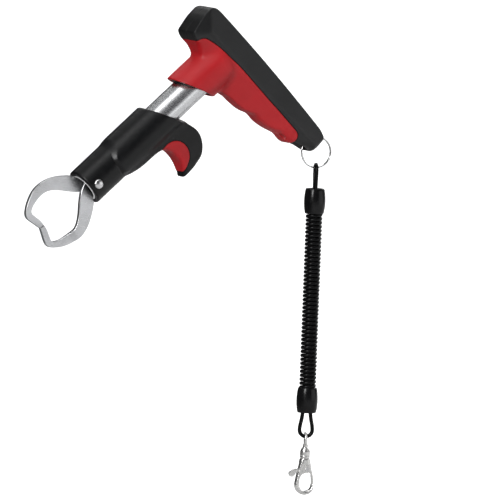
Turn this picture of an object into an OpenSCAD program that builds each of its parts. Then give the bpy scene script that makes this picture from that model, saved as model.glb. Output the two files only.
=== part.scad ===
// Lip grip for holding a fish by the jaw, with a coiled lanyard and a clasp.
// Frame: the tool plane is XZ, Z is up, the origin is where the axis of the
// steel tube crosses the middle of the handle. Units are mm.
// The tool's own frame has X along the tube, with the jaws at the front (-X)
// and the handle at the back. The near side is -Y, the far side +Y.

/* [Tool] */
// Angle of the tube axis above X, degrees
tool_tilt = 38; // [30:1:46]
// Travel of the trigger
trigger_travel = 11; // [8:0.5:11]
// Opening angle of each jaw, degrees
jaw_open = 14; // [8:1:14]

/* [Jaws] */
// Thickness of a jaw plate
jaw_t = 3; // [2.4:0.1:3]
// Diameter of the cam pin across the sleeve
cam_pin_d = 4; // [3:0.5:4]
// Diameter of the pivot pin of the jaws
pivot_pin_d = 4; // [3:0.5:4]

/* [Tube and sleeve] */
// Outside diameter of the steel tube
tube_d = 19.5; // [19.1:0.1:19.8]
// Wall of the steel tube
tube_wall = 1; // [0.8:0.1:1]
// Outside diameter of the nose of the sleeve
sleeve_d = 25.6; // [25:0.2:26]
// Width of the finger hook
hook_w = 17; // [15:0.5:19]

/* [Handle] */
// Thickness of the handle
handle_t = 27; // [26:0.5:27]
// Outside diameter of the collar
collar_d = 29; // [28.4:0.2:29.6]
// Thickness of the soft grip
grip_t = 2.4; // [1.6:0.2:2.8]
// Diameter of the core rod
rod_d = 8; // [7:0.5:8]

/* [Lanyard] */
// Outside diameter of the split ring
ring_d = 20.8; // [20.2:0.2:21.2]
// Diameter of the cord
cord_d = 2.5; // [2.2:0.1:2.5]
// Outside diameter of the coil
coil_d = 11; // [10.4:0.2:11.6]
// Turns of the coil
coil_turns = 42.5; // [38.5:1:42.5]
// Lean of the hanging lanyard, degrees
lean = 2.5; // [0:0.5:3]

/* [Hidden] */
$fn = 72;

fit = 0.01;                 // gap between fitted parts
soft_red = [0.7, 0.1, 0.12];
hard_black = [0.07, 0.07, 0.075];
spring_gray = [0.6, 0.6, 0.6];
cord_black = [0.1, 0.1, 0.11];
ferrule_black = [0.06, 0.06, 0.07];

tube_r = tube_d / 2;
tube_bore_r = tube_r - tube_wall;
rod_r = rod_d / 2;
cam_pin_r = cam_pin_d / 2;
pivot_pin_r = pivot_pin_d / 2;
mouth_x = -130;             // front face of the sleeve
cam_x = mouth_x + 5.5;      // cam pin, at rest
pivot_x = mouth_x + 23;     // jaw pivot
cam_at = [cam_x, 0];
pivot_at = [pivot_x, 0];

// --- curves -------------------------------------------------------------

// Point at t, from 0 to 1, on the Catmull-Rom span from b to c
function spline(a, b, c, d, t) =
    0.5 * (2 * b + (c - a) * t + (2 * a - 5 * b + 4 * c - d) * t * t
        + (3 * b - a - 3 * c + d) * t * t * t);

// Closed curve through points, with steps for each span
function closed_curve(points, steps) = let (count = len(points))
    [for (i = [0 : count - 1]) for (k = [0 : steps - 1])
        spline(points[(i + count - 1) % count], points[i],
            points[(i + 1) % count], points[(i + 2) % count], k / steps)];

// Open curve through points, with steps for each span
function open_curve(points, steps) = let (last = len(points) - 1) concat(
    [for (i = [0 : last - 1]) for (k = [0 : steps - 1])
        let (b = points[i], c = points[i + 1],
            a = i == 0 ? 2 * b - c : points[i - 1],
            d = i == last - 1 ? 2 * c - b : points[i + 2])
        spline(a, b, c, d, k / steps)],
    [points[last]]);

// Outline moved to the right of its run, seen with x right and z up:
// inward where it runs clockwise, outward where it runs the other way
function move_right(outline, distance) = let (count = len(outline))
    [for (i = [0 : count - 1])
        let (chord = outline[(i + 1) % count]
                - outline[(i + count - 1) % count],
            tangent = chord / norm(chord))
        outline[i] + distance * [tangent[1], -tangent[0]]];

// Point at an angle on a wire's round section, spanned by u and v
function section_point(center, u, v, radius, angle) =
    center + radius * (cos(angle) * u + sin(angle) * v);

// Faces of a closed tube of sections with sides points each
function tube_faces(sections, sides) = concat(
    [for (i = [0 : sections - 2]) for (j = [0 : sides - 1])
        [i * sides + j, i * sides + (j + 1) % sides,
            (i + 1) * sides + (j + 1) % sides, (i + 1) * sides + j]],
    [[for (j = [sides - 1 : -1 : 0]) j]],
    [[for (j = [0 : sides - 1]) (sections - 1) * sides + j]]);

// Wire wound as a helix about Z; steps are for each turn
module helix(helix_r, wire_r, z0, z1, turns, steps, sides) {
    sections = ceil(abs(turns) * steps) + 1;
    points = [for (i = [0 : sections - 1])
        let (part = i / (sections - 1), turned = 360 * turns * part,
            outward = [cos(turned), sin(turned), 0],
            run = [-sin(turned) * helix_r * 2 * PI * turns,
                cos(turned) * helix_r * 2 * PI * turns, z1 - z0],
            across = cross(run / norm(run), outward))
        for (j = [0 : sides - 1])
            section_point(helix_r * outward + [0, 0, z0 + (z1 - z0) * part],
                outward, across, wire_r, 360 * j / sides)];
    polyhedron(points, tube_faces(sections, sides), convexity = 10);
}

// Wire along the [x, z] points of path, which lie in the XZ plane
module wire(path, wire_r, sides) {
    sections = len(path);
    points = [for (i = [0 : sections - 1])
        let (chord = path[min(i + 1, sections - 1)] - path[max(i - 1, 0)],
            tangent = chord / norm(chord))
        for (j = [0 : sides - 1])
            section_point([path[i][0], 0, path[i][1]],
                [tangent[1], 0, -tangent[0]], [0, 1, 0], wire_r,
                360 * j / sides)];
    polyhedron(points, tube_faces(sections, sides), convexity = 6);
}

// --- placing and basic solids ----------------------------------------------

// The tool's own frame
module tool() {
    rotate([0, -tool_tilt, 0]) children();
}

// Plate from y0 to y1 with its outline in [x, z]
module plate(outline, y0, y1) {
    translate([0, y1, 0]) rotate([90, 0, 0]) linear_extrude(y1 - y0)
        polygon(outline);
}

// Plates stacked about the XZ plane, for an outline stepped at its sides;
// each step is [move of the outline, depth below the side face]
module stepped_plate(outline, half_width, steps) {
    for (s = steps)
        plate(move_right(outline, s[0]), -half_width + s[1],
            half_width - s[1]);
}

// Cylinder along Y at the point [x, z]
module y_cylinder(at, radius, y0, y1) {
    translate([at[0], y1, at[1]]) rotate([90, 0, 0])
        cylinder(h = y1 - y0, r = radius);
}

// Cylinder along Y that passes through the whole tool
module y_through(at, radius) {
    y_cylinder(at, radius, -20, 20);
}

// Cylinder along X on the tube axis
module x_cylinder(radius, x0, x1) {
    translate([x0, 0, 0]) rotate([0, 90, 0])
        cylinder(h = x1 - x0, r = radius);
}

// Cylinder on the tube axis that passes through the tube and the sleeve
module x_through(radius) {
    x_cylinder(radius, -140, 0);
}

// Block in front of or behind a slanted plane through x on the tube axis
module slanted_block(x, slant, front) {
    translate([x, 0, 0]) rotate([0, -slant, 0])
        translate([front ? -120 : 0, -50, -80]) cube([120, 100, 160]);
}

// --- handle ---------------------------------------------------------------

half_t = handle_t / 2;
collar_r = collar_d / 2;
front_slant = 29;           // slant of the front faces of collar and bush
collar_front_x = -31.6;
bush_front_x = -29.6;
bush_back_x = -14;
bush_r = 12;
anchor_at = [1, 0];         // pin across the back end of the core rod
anchor_r = 1.5;
rod_end_x = 8;
tunnel_x = 14.9;            // middle of the ring tunnel
tunnel_z = -84.6;
tunnel_slope = -14;         // in the tool plane
tunnel_r = 2.7;

// Handle outline, [x, z], clockwise
handle_outline = closed_curve([[-17, 4], [-16.2, 11], [-14.8, 15.8],
    [-13.6, 20], [-13.2, 25], [-12, 29.8], [-9, 33.2], [-3.5, 34.6], [3, 35],
    [8.4, 34.7], [12, 31.4], [13.6, 24], [15.4, 8], [17.4, -12],
    [19.2, -34], [20.6, -56], [21.6, -74], [21.8, -82], [20.4, -87],
    [16, -88.8], [10.5, -88.8], [7.4, -86.8], [5, -82], [1.2, -76.4],
    [-1.2, -71], [-2.1, -64], [-5.6, -56.5], [-8, -49], [-8.8, -42],
    [-12.2, -35.2], [-14.2, -27.5], [-15.2, -22], [-17, -16.6],
    [-17.6, -10]], 2);
// Zone of the soft grip on the finger side, [x, z]
grip_outline = closed_curve([[-40, 26], [-24, 25], [-17, 24.8],
    [-11.4, 24.3], [-7.6, 22.2], [-5.2, 17], [-3.4, 10.6], [-1.9, 2],
    [0, -8], [1.4, -22], [3, -39], [4.3, -50], [5.4, -62], [5.9, -68],
    [5, -71.2], [2.4, -73], [-1, -73.4], [-12, -72], [-34, -62],
    [-60, -30], [-62, 4]], 2);
// Hollow inside the handle, [x, z]
hollow_outline = [[-6, -18], [12, -18], [13.6, -36], [15.4, -56],
    [16.4, -72], [9, -72], [3.6, -58], [-1.6, -44], [-6, -32]];
// Screw places, [x, z]
screw_places = [[4, 29], [9.5, -27], [13.8, -64]];

module handle_plates() {
    stepped_plate(handle_outline, half_t, [[0, 5], [2.2, 1.2], [3.4, 0]]);
}

module collar() {
    difference() {
        x_cylinder(collar_r, -46, -12);
        slanted_block(collar_front_x, front_slant, true);
    }
}

// The hard core under the soft grip
module core_solid() {
    plate(move_right(handle_outline, grip_t), -half_t + grip_t + 1,
        half_t - grip_t - 1);
}

// Room for the tube inside the handle
module tube_room() {
    x_cylinder(tube_r + 0.35, -60, -5);
}

module ring_tunnel() {
    translate([tunnel_x, 0, tunnel_z]) rotate([0, 90 - tunnel_slope, 0]) {
        translate([0, 0, -14]) cylinder(h = 28, r = tunnel_r);
        // eased mouths
        for (m = [0, 1]) mirror([0, 0, m])
            translate([0, 0, 3.6]) cylinder(h = 8, r1 = tunnel_r, r2 = 7.2);
    }
}

module handle_cuts() {
    tube_room();
    x_cylinder(rod_r, -6, rod_end_x);
    y_cylinder(anchor_at, anchor_r, -9, 9);
    // hollow, with bosses left round the screws
    difference() {
        plate(hollow_outline, -half_t + 6, half_t - 6);
        for (at = screw_places) y_through(at, 4);
    }
    // screw holes and the seats of the heads
    for (at = screw_places) {
        y_cylinder(at, 1.5, -7, 9.5);
        y_cylinder(at, 3.1, 8.6, 20);
    }
    ring_tunnel();
}

module shell(near) {
    tool() difference() {
        intersection() {
            union() {
                handle_plates();
                collar();
            }
            // one half, near or far
            translate([-60, near ? -40 : fit, -120])
                cube([120, 40 - fit, 200]);
            // the collar in front of the core is all soft grip and bush
            translate([-21, -40, -120]) cube([120, 80, 200]);
        }
        difference() {
            plate(grip_outline, -30, 30);
            core_solid();
        }
        handle_cuts();
        // the bush goes into the core
        x_cylinder(bush_r, -30, bush_back_x);
    }
}

module grip(near) {
    tool() difference() {
        union() {
            // skin over the core on the finger side and the flank
            difference() {
                intersection() {
                    handle_plates();
                    plate(grip_outline, near ? -30 : fit, near ? -fit : 30);
                }
                core_solid();
            }
            // half of the collar
            difference() {
                collar();
                translate([-60, near ? -fit : -40, -30])
                    cube([60, 40 + fit, 60]);
                core_solid();
            }
        }
        x_cylinder(bush_r, -60, bush_back_x);
        tube_room();
        // oval recess on the finger side
        translate([-2.8, near ? -5.2 : 5.2, -66.8])
            scale([1, 0.7, 1.15]) sphere(r = 2.6);
    }
}

module handle_shell_near() {
    color([0.06, 0.06, 0.065]) shell(true);
}

module handle_shell_far() {
    color(hard_black) shell(false);
}

module grip_near() {
    color(soft_red) grip(true);
}

module grip_far() {
    color([0.65, 0.09, 0.11]) grip(false);
}

// Bush between the collar and the tube
module collar_bush() {
    color([0.05, 0.05, 0.05]) tool() difference() {
        x_cylinder(bush_r - fit, -44, bush_back_x - fit);
        x_cylinder(tube_r + 0.08, -60, 0);
        slanted_block(bush_front_x, front_slant, true);
    }
}

// Rod from the handle to the jaws, with a forked head that fills the tube
module core_rod() {
    color([0.6, 0.6, 0.62]) tool() difference() {
        union() {
            x_cylinder(tube_bore_r - 0.12, pivot_x - 3.7, pivot_x + 12);
            x_cylinder(rod_r - fit, pivot_x + 11, rod_end_x - 0.1);
        }
        // fork for the jaws
        translate([pivot_x - 10, -jaw_t - 0.15, -20])
            cube([16.4, 2 * jaw_t + 0.3, 40]);
        y_cylinder(pivot_at, pivot_pin_r + 0.005, -12, 12);
        y_cylinder(anchor_at, anchor_r, -9, 9);
    }
}

module rod_anchor_pin() {
    color([0.7, 0.7, 0.7]) tool()
        y_cylinder(anchor_at, anchor_r - fit, -8.9, 8.9);
}

// Washer on the rod behind the return spring
module spring_seat() {
    color(spring_gray) tool() difference() {
        x_cylinder(tube_bore_r - 0.4, -7, -5.05);
        x_cylinder(rod_r + 0.02, -9, 0);
    }
}

module jaw_pivot_pin() {
    color([0.75, 0.75, 0.75]) tool()
        y_cylinder(pivot_at, pivot_pin_r, -8, 8);
}

module handle_screws() {
    color([0.55, 0.55, 0.58]) tool() for (at = screw_places) difference() {
        union() {
            y_cylinder(at, 1.48, -6.5, 9);
            y_cylinder(at, 3, 8.62, 10.6);
        }
        // cross recess, as the [x, z] size of each slot
        for (slot = [[4.4, 0.8], [0.8, 4.4]])
            translate([at[0] - slot[0] / 2, 10, at[1] - slot[1] / 2])
                cube([slot[0], 2, slot[1]]);
    }
}

// --- trigger ---------------------------------------------------------------

sleeve_r = sleeve_d / 2;
sleeve_back_r = sleeve_r + 0.9; // thicker back part of the sleeve
sleeve_end_x = -58.6;
rear_slant = 31;            // slant of the sleeve's rear face
head_seat = 0.6;            // depth of the rivet head's seat in the sleeve
pad_center = [-69.8, -24.8];
pad_r = 10.4;

// Finger hook outline, [x, z], anticlockwise
hook_outline = closed_curve([[-101, -9], [-97, -12.9], [-90, -14.4],
    [-79, -14.8], [-72.6, -16.6], [-69.6, -20.6], [-68.4, -26],
    [-68.6, -31.6], [-70.6, -37], [-72.4, -40.4], [-70.6, -42.2],
    [-64, -41.4], [-57, -39], [-51, -34.4], [-47.4, -28.6], [-46.6, -22.6],
    [-48.6, -16], [-52.6, -8.4], [-57, -1], [-62, 4], [-84, 4]], 4);
// Half of the sleeve's section, [radius, distance behind the mouth]
sleeve_profile = [[0, 0], [sleeve_r - 1.6, 0], [sleeve_r - 0.5, 0.45],
    [sleeve_r, 1.5], [sleeve_r, 26], [sleeve_back_r, 33],
    [sleeve_back_r, 80], [0, 80]];

module hook_solid() {
    intersection() {
        stepped_plate(hook_outline, hook_w / 2, [[0, 2.5], [0.9, 1], [2, 0]]);
        translate([-110, -20, -60]) cube([100, 40, 62]);
    }
}

// Zone of the soft pad on the hook
module pad_zone() {
    difference() {
        y_through(pad_center, pad_r);
        // stem of the hook under the pad
        translate([2.6, 0, 0])
            plate(hook_outline, -hook_w / 2 + 1.8, hook_w / 2 - 1.8);
    }
}

module trigger_sleeve() {
    color(hard_black) tool() difference() {
        union() {
            difference() {
                translate([mouth_x, 0, 0]) rotate([0, 90, 0])
                    rotate_extrude() polygon(sleeve_profile);
                slanted_block(sleeve_end_x, rear_slant, false);
            }
            hook_solid();
        }
        x_through(tube_r + fit);
        difference() {
            pad_zone();
            x_through(sleeve_back_r);
        }
        y_through(cam_at, cam_pin_r + fit);
        // seats of the rivet heads
        for (span = [[-20, -sleeve_r + head_seat], [sleeve_r - head_seat, 20]])
            y_cylinder(cam_at, 3.3, span[0], span[1]);
    }
}

module trigger_pad() {
    color(soft_red) tool() intersection() {
        difference() {
            hook_solid();
            x_through(sleeve_back_r + fit);
        }
        pad_zone();
    }
}

module guide_tube() {
    color([0.85, 0.86, 0.88]) tool() difference() {
        x_cylinder(tube_r, mouth_x + 0.4, -17.2);
        x_through(tube_bore_r);
        y_through(cam_at, cam_pin_r + fit);
    }
}

// Half of a rivet head's section, [radius, height]
rivet_head_profile = [[0, 0], [3.2, 0], [3.2, 0.7], [2.7, 1.15],
    [1.6, 1.5], [0, 1.62]];

// Cam pin with a domed head at each end
module cross_rivet() {
    color([0.85, 0.85, 0.86]) tool() union() {
        y_cylinder(cam_at, cam_pin_r, -sleeve_r + 0.2, sleeve_r - 0.2);
        for (m = [0, 1]) mirror([0, m, 0])
            translate([cam_x, sleeve_r - head_seat + 0.02, 0])
                rotate([-90, 0, 0]) rotate_extrude()
                    polygon(rivet_head_profile);
    }
}

// Bush in the tube, in front of the return spring
module tube_bush() {
    color([0.5, 0.5, 0.5]) tool() difference() {
        x_cylinder(tube_bore_r - fit, -66, -58);
        x_cylinder(rod_r + 0.06, -70, -50);
    }
}

module return_spring() {
    color(spring_gray) tool() translate([-57.9, 0, 0]) rotate([0, 90, 0])
        helix(helix_r = (tube_bore_r + rod_r) / 2, wire_r = 0.7, z0 = 0.72,
            z1 = 50.1, turns = 13, steps = 14, sides = 6);
}

// --- jaws ------------------------------------------------------------------

jaw_gap = 0.05;             // from the tool plane to a jaw plate
// The tip of the lower jaw steps across between these places
step_front_x = -158;
step_back_x = -150.4;

// Jaw outline in [x, z], in parts. The neck starts behind the pivot inside
// the tube and runs forward to the mouth
jaw_neck = [[pivot_x + 5.4, 0], [pivot_x + 3.8, -3.9], [pivot_x, -5.5],
    [pivot_x - 6, -5.5], [pivot_x - 14, -5.4], [mouth_x + 4.2, -4.8],
    [mouth_x + 0.6, -2.6], [mouth_x - 2.2, -1.4]];
jaw_inner = [[-134.4, 0.2], [-136, 1.6], [-139.6, 5.2], [-144.4, 10.4],
    [-148.8, 14], [-153.4, 15.9], [-158.4, 16], [-163, 15.1],
    [-166.6, 13.5], [-168.3, 11.4], [-167.8, 8.6], [-166.6, 4.4]];
jaw_tip = [[-166.1, 0.15], [-169.7, 0.15]];
jaw_outer = [[-170.8, 3.6], [-172.3, 8], [-172.9, 11], [-172, 14],
    [-168.6, 17.2], [-163.4, 20.4], [-157.4, 22.4], [-151, 22.4],
    [-144.6, 20.7], [-138.6, 17.4], [-133.4, 13.4], [-130.9, 10.9],
    [-130.35, 9]];

// Turn of a jaw when the trigger has moved back by travel
function jaw_turn(travel) = jaw_open * travel / trigger_travel;

// The back edge clears the mouth of the sleeve at every travel
function mouth_edge(travel) = let (turn = jaw_turn(travel),
    reach = pivot_x - mouth_x - travel)
    [pivot_x - reach * cos(turn) - 8 * sin(turn),
        8 * cos(turn) - reach * sin(turn)];
jaw_back = concat([for (i = [0 : 8]) mouth_edge(trigger_travel * i / 8)],
    [[pivot_x - 6, 5], [pivot_x, 5.5], [pivot_x + 3.8, 3.9]]);
jaw_outline = concat(jaw_neck, open_curve(jaw_inner, 4), jaw_tip,
    open_curve(jaw_outer, 4), jaw_back);

// Cam slot, from the pivot: the path of the cam pin as seen from the jaw,
// which turns evenly with the travel of the trigger
cam_arm = pivot_x - cam_x;
slot_r = cam_pin_r + 0.08;
slot_start = -0.25;         // travel at the two ends of the slot
slot_stop = trigger_travel + 0.25;

function slot_center(travel) =
    -(cam_arm - travel) * [cos(jaw_turn(travel)), sin(jaw_turn(travel))];
function slot_normal(travel) =
    let (run = slot_center(travel + 0.01) - slot_center(travel - 0.01),
        tangent = run / norm(run))
    [-tangent[1], tangent[0]];
// Edge on one side, 1 or -1; the -1 edge runs back to the start
function slot_edge(side) = [for (i = [0 : 20])
    let (travel = slot_start
        + (slot_stop - slot_start) * (side > 0 ? i : 20 - i) / 20)
    slot_center(travel) + side * slot_r * slot_normal(travel)];
// Rounded end, from one side to the other
function slot_end(travel, side) = let (normal = slot_normal(travel) * side,
    outward = [normal[1], -normal[0]])
    [for (angle = [15 : 15 : 165]) slot_center(travel)
        + slot_r * (cos(angle) * normal + sin(angle) * outward)];
slot_outline = concat(slot_edge(1), slot_end(slot_stop, 1), slot_edge(-1),
    slot_end(slot_start, -1));

// Flat jaw from y0, whose tip part is moved across by step
module jaw(y0, step) {
    y1 = y0 + jaw_t;
    difference() {
        if (step == 0)
            plate(jaw_outline, y0, y1);
        else
            intersection() {
                plate(jaw_outline, -12, 12);
                // the bent plate seen from above, [x, y]
                translate([0, 0, -40]) linear_extrude(80) polygon([
                    [-180, y0 + step], [step_front_x, y0 + step],
                    [step_back_x, y0], [-90, y0], [-90, y1],
                    [step_back_x, y1], [step_front_x, y1 + step],
                    [-180, y1 + step]]);
            }
        y_through(pivot_at, pivot_pin_r + 0.05);
        translate([pivot_x, 0, 0]) plate(slot_outline, -12, 12);
    }
}

module jaw_upper() {
    color([0.8, 0.81, 0.83]) tool() jaw(jaw_gap, 0);
}

// The tip steps across into the plane of the upper jaw
module jaw_lower() {
    color([0.78, 0.79, 0.81]) tool() mirror([0, 0, 1])
        jaw(-jaw_t - jaw_gap, jaw_t + 2 * jaw_gap);
}

// --- lanyard ---------------------------------------------------------------

ring_wire_d = 1;
ring_mid_r = (ring_d - ring_wire_d) / 2;
ring_drop = ring_mid_r - 1.3; // ring centre under the tunnel axis
ring_yaw = -10;
// Ring centre in the tool's own frame, then in the main frame
ring_x = tunnel_x + ring_drop * sin(tunnel_slope);
ring_z = tunnel_z - ring_drop * cos(tunnel_slope);
ring_center = [ring_x * cos(tool_tilt) - ring_z * sin(tool_tilt), 0,
    ring_x * sin(tool_tilt) + ring_z * cos(tool_tilt)];
hang_point = ring_center - [0, 0, ring_mid_r - ring_wire_d / 2];

cord_r = cord_d / 2;
loop_len = 15.6;
loop_r = 4.1;               // round end of a loop
loop_root = 2.55;           // half spread of the cord at the ferrule
loop_arc_z = -4.4;          // middle of the round end
loop_rise = cord_r + 0.4;   // a loop's end beyond the wire it hangs on
end_gap = 0.1;              // between a loop and its ferrule
ferrule_len = 16.2;
upper_top_z = loop_rise - loop_len - end_gap; // upper ferrule
upper_bottom_z = upper_top_z - ferrule_len;
lower_top_z = upper_bottom_z - 112.2;         // lower ferrule
lower_bottom_z = lower_top_z - ferrule_len;
lower_loop_z = lower_bottom_z - end_gap - loop_len;
lower_loop_yaw = -24;

// The lanyard's frame: hangs from the split ring
module lanyard() {
    translate(hang_point) rotate([0, lean, 0]) children();
}

module split_ring() {
    color([0.8, 0.8, 0.8]) translate(ring_center) rotate([0, 0, ring_yaw])
        rotate([90, 0, 0]) rotate_extrude() for (y = [-0.48, 0.48])
            translate([ring_mid_r, y]) circle(d = ring_wire_d, $fn = 16);
}

// Point i of 0 to 8 up a leg of the loop, side 1 or -1
function leg_point(i, side) = let (part = i / 8,
    ease = part * part * (3 - 2 * part))
    [side * (loop_root + (loop_r - loop_root) * ease),
        -loop_len + (loop_len + loop_arc_z) * part];

// Teardrop loop of cord hanging from z = 0, ends at z = -loop_len
module cord_loop() {
    wire(concat(
        [for (i = [0 : 8]) leg_point(i, -1)],
        [for (i = [1 : 15]) let (angle = 180 - 12 * i)
            [loop_r * cos(angle), loop_arc_z + loop_r * sin(angle)]],
        [for (i = [8 : -1 : 0]) leg_point(i, 1)]), cord_r, 8);
}

module loop_upper() {
    color(cord_black) lanyard() rotate([0, 0, ring_yaw + 78])
        translate([0, 0, loop_rise]) cord_loop();
}

// Barrel with swelling sides and chamfered ends, from z0 up
module ferrule(z0) {
    end_r = 5.9;
    middle_r = 6.9;
    chamfer = 1;
    translate([0, 0, z0]) rotate_extrude() polygon(concat([[0, 0]],
        [for (i = [0 : 12])
            [end_r + (middle_r - end_r) * sin(180 * i / 12)
                - (i == 0 || i == 12 ? chamfer : 0), ferrule_len * i / 12]],
        [[0, ferrule_len]]));
}

module ferrule_upper() {
    color(ferrule_black) lanyard() ferrule(upper_bottom_z);
}

module coil_cord() {
    color(cord_black) lanyard()
        helix(helix_r = coil_d / 2 - cord_r, wire_r = cord_r,
            z0 = lower_top_z + cord_r + 0.3,
            z1 = upper_bottom_z - cord_r - 0.3,
            turns = coil_turns, steps = 10, sides = 5);
}

module ferrule_lower() {
    color(ferrule_black) lanyard() ferrule(lower_bottom_z);
}

module loop_lower() {
    color(cord_black) lanyard() rotate([0, 0, lower_loop_yaw])
        translate([0, 0, lower_loop_z]) mirror([0, 0, 1]) cord_loop();
}

// --- clasp -----------------------------------------------------------------

clasp_yaw = -12;
eye_r = 3.7;                // middle of the eye's wire
eye_wire_r = 0.9;
eye_z = lower_loop_z + loop_rise + eye_wire_r - eye_r;
clasp_z = eye_z - eye_r + 0.2 - 9.4; // top face of the clasp body
gate_at = [1.3, -6.8];      // gate pivot, [x, z] under the top face
bend_at = [0.6, -16.6];     // middle of the hook's bend
bend_r = 4.2;

// Half of the swivel stem's section, [radius, z]: head, neck and collar
stem_profile = [[0, -4.4], [1.9, -4.4], [1.9, -3.2], [1.1, -3.2],
    [1.1, 0.1], [2.7, 0.1], [3.2, 0.8], [3.2, 4.6], [2.6, 6.2],
    [1.7, 7.4], [1.7, 9.1], [0, 9.1]];
// Clasp body outline, [x, z]
clasp_outline = [[-3, 0], [-3.4, -1], [-4.2, -6], [-5.1, -10], [-6, -14],
    [-6.1, -18], [-4.4, -21.4], [-1, -23.2], [2.6, -22.9], [5.4, -20.6],
    [6.2, -17.6], [5.9, -16.2], [4.86, -16.2], [4.7, -17.7], [4.2, -18.9],
    [3.2, -20], [1.9, -20.65], [0.6, -20.8], [-0.8, -20.55],
    [-2, -19.9], [-2.9, -18.9], [-3.45, -17.6], [-3.6, -16.6],
    [-3.3, -13], [-2, -10.4], [0.4, -9.3], [4.5, -8.4], [4.1, -4],
    [3.5, -1], [3, 0]];
// Gate lever outline, [x, z]
gate_outline = [[-1.6, -6.3], [0.2, -5.5], [1.4, -5.3], [3.4, -5.6],
    [4.6, -6.8], [5.3, -8.8], [6, -12], [6.1, -15.5], [4.95, -15.9],
    [4.6, -12], [3.8, -9.6], [2, -8.6], [-2, -8.8], [-5.6, -9.2],
    [-6.9, -10.8], [-8.2, -11.7], [-9.6, -11.4], [-10.4, -10.1],
    [-10.2, -8.8], [-9.2, -8], [-6.4, -6.6]];

module swivel_eye() {
    color([0.82, 0.82, 0.83]) lanyard() union() {
        translate([0, 0, eye_z]) rotate([0, 0, lower_loop_yaw + 90])
            rotate([90, 0, 0]) rotate_extrude()
                translate([eye_r, 0]) circle(r = eye_wire_r, $fn = 20);
        translate([0, 0, clasp_z]) rotate_extrude() polygon(stem_profile);
    }
}

// The clasp's frame: z = 0 is the top face of its body
module clasp() {
    lanyard() rotate([0, 0, clasp_yaw]) translate([0, 0, clasp_z])
        children();
}

module clasp_body() {
    color([0.8, 0.8, 0.81]) clasp() difference() {
        union() {
            difference() {
                plate(clasp_outline, -2.4, 2.4);
                y_cylinder(bend_at, bend_r, -5, 5);
            }
            // round seat of the swivel
            intersection() {
                translate([0, 0, -4]) cylinder(h = 4, r1 = 3.9, r2 = 3.2);
                translate([-5, -2.9, -5]) cube([10, 5.8, 6]);
            }
        }
        // bore and window of the swivel stem
        translate([0, 0, -3.1]) cylinder(h = 5, r = 1.2);
        translate([0, 0, -4.7]) cylinder(h = 1.6, r = 2.05);
        // slot for the gate lever
        translate([-8, -1.35, -9.6]) cube([16, 2.7, 5.1]);
        translate([-8, -1.35, -9.6]) cube([5.8, 2.7, 7]);
        translate([3.2, -1.35, -10.4]) cube([4, 2.7, 5]);
        y_cylinder(gate_at, 1.02, -5, 5);
    }
}

// Lever, thin at the pivot and full width at its two ends
module gate_lever() {
    color([0.78, 0.78, 0.8]) clasp() difference() {
        union() {
            plate(gate_outline, -1.25, 0.15);
            intersection() {
                plate(gate_outline, -1.25, 1.25);
                union() {
                    translate([3, -3, -20]) cube([6, 6, 9.4]);
                    translate([-12, -3, -14]) cube([6.6, 6, 10]);
                }
            }
        }
        y_cylinder(gate_at, 1.05, -5, 5);
    }
}

module gate_pin() {
    color([0.85, 0.85, 0.85]) clasp() union() {
        y_cylinder(gate_at, 1, -2.6, 2.6);
        for (y = [-2.85, 2.45]) y_cylinder(gate_at, 1.4, y, y + 0.4);
    }
}

module gate_spring() {
    color(spring_gray) clasp() translate([gate_at[0], 0.2, gate_at[1]])
        rotate([-90, 0, 0]) helix(helix_r = 1.4, wire_r = 0.17, z0 = 0.2,
            z1 = 0.98, turns = 2, steps = 12, sides = 6);
}

handle_shell_near();
handle_shell_far();
grip_near();
grip_far();
collar_bush();
core_rod();
rod_anchor_pin();
spring_seat();
jaw_pivot_pin();
handle_screws();
trigger_sleeve();
trigger_pad();
guide_tube();
cross_rivet();
tube_bush();
return_spring();
jaw_upper();
jaw_lower();
split_ring();
loop_upper();
ferrule_upper();
coil_cord();
ferrule_lower();
loop_lower();
swivel_eye();
clasp_body();
gate_lever();
gate_pin();
gate_spring();
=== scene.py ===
"""Pull-trigger tool with two jaws, a pistol handle and a coiled lanyard with a clasp.

Pieces are laid out in millimetres in local frames. In the tool frame X runs along the
tube from the jaws (-X) to the handle (+X), the handle hangs towards -Z and the near
side is -Y. The whole tool is tilted about Y, so the handle end stands higher. The
lanyard frame has its origin where the cord hangs in the split ring, with Z upwards.
"""

import math

import bpy
import numpy as np
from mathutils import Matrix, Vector


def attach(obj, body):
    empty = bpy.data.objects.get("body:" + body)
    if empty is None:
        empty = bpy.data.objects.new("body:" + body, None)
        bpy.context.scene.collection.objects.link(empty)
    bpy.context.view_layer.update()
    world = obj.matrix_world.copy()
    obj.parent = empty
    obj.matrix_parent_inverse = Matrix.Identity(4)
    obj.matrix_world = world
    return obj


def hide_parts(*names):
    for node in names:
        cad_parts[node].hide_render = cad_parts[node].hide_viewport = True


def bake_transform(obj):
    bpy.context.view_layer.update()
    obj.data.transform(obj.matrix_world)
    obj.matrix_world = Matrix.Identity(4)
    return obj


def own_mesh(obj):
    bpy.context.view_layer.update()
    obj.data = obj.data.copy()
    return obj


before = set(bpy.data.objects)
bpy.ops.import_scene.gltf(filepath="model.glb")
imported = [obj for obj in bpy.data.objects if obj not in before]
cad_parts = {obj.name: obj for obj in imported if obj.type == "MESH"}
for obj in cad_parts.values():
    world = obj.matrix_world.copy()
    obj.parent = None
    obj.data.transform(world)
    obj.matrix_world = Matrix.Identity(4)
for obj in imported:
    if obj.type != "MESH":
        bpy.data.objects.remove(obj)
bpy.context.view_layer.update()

# ---------------------------------------------------------------- dimensions, mm
MM = 0.001
TILT = math.radians(38)
COS_TILT, SIN_TILT = math.cos(TILT), math.sin(TILT)
TRAVEL = 11.0  # slide of the sleeve along the tube
MOUTH = -130.0
CAM_X = MOUTH + 5.5
PIVOT_DEPTH = 23.0
PIVOT = MOUTH + PIVOT_DEPTH
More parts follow.
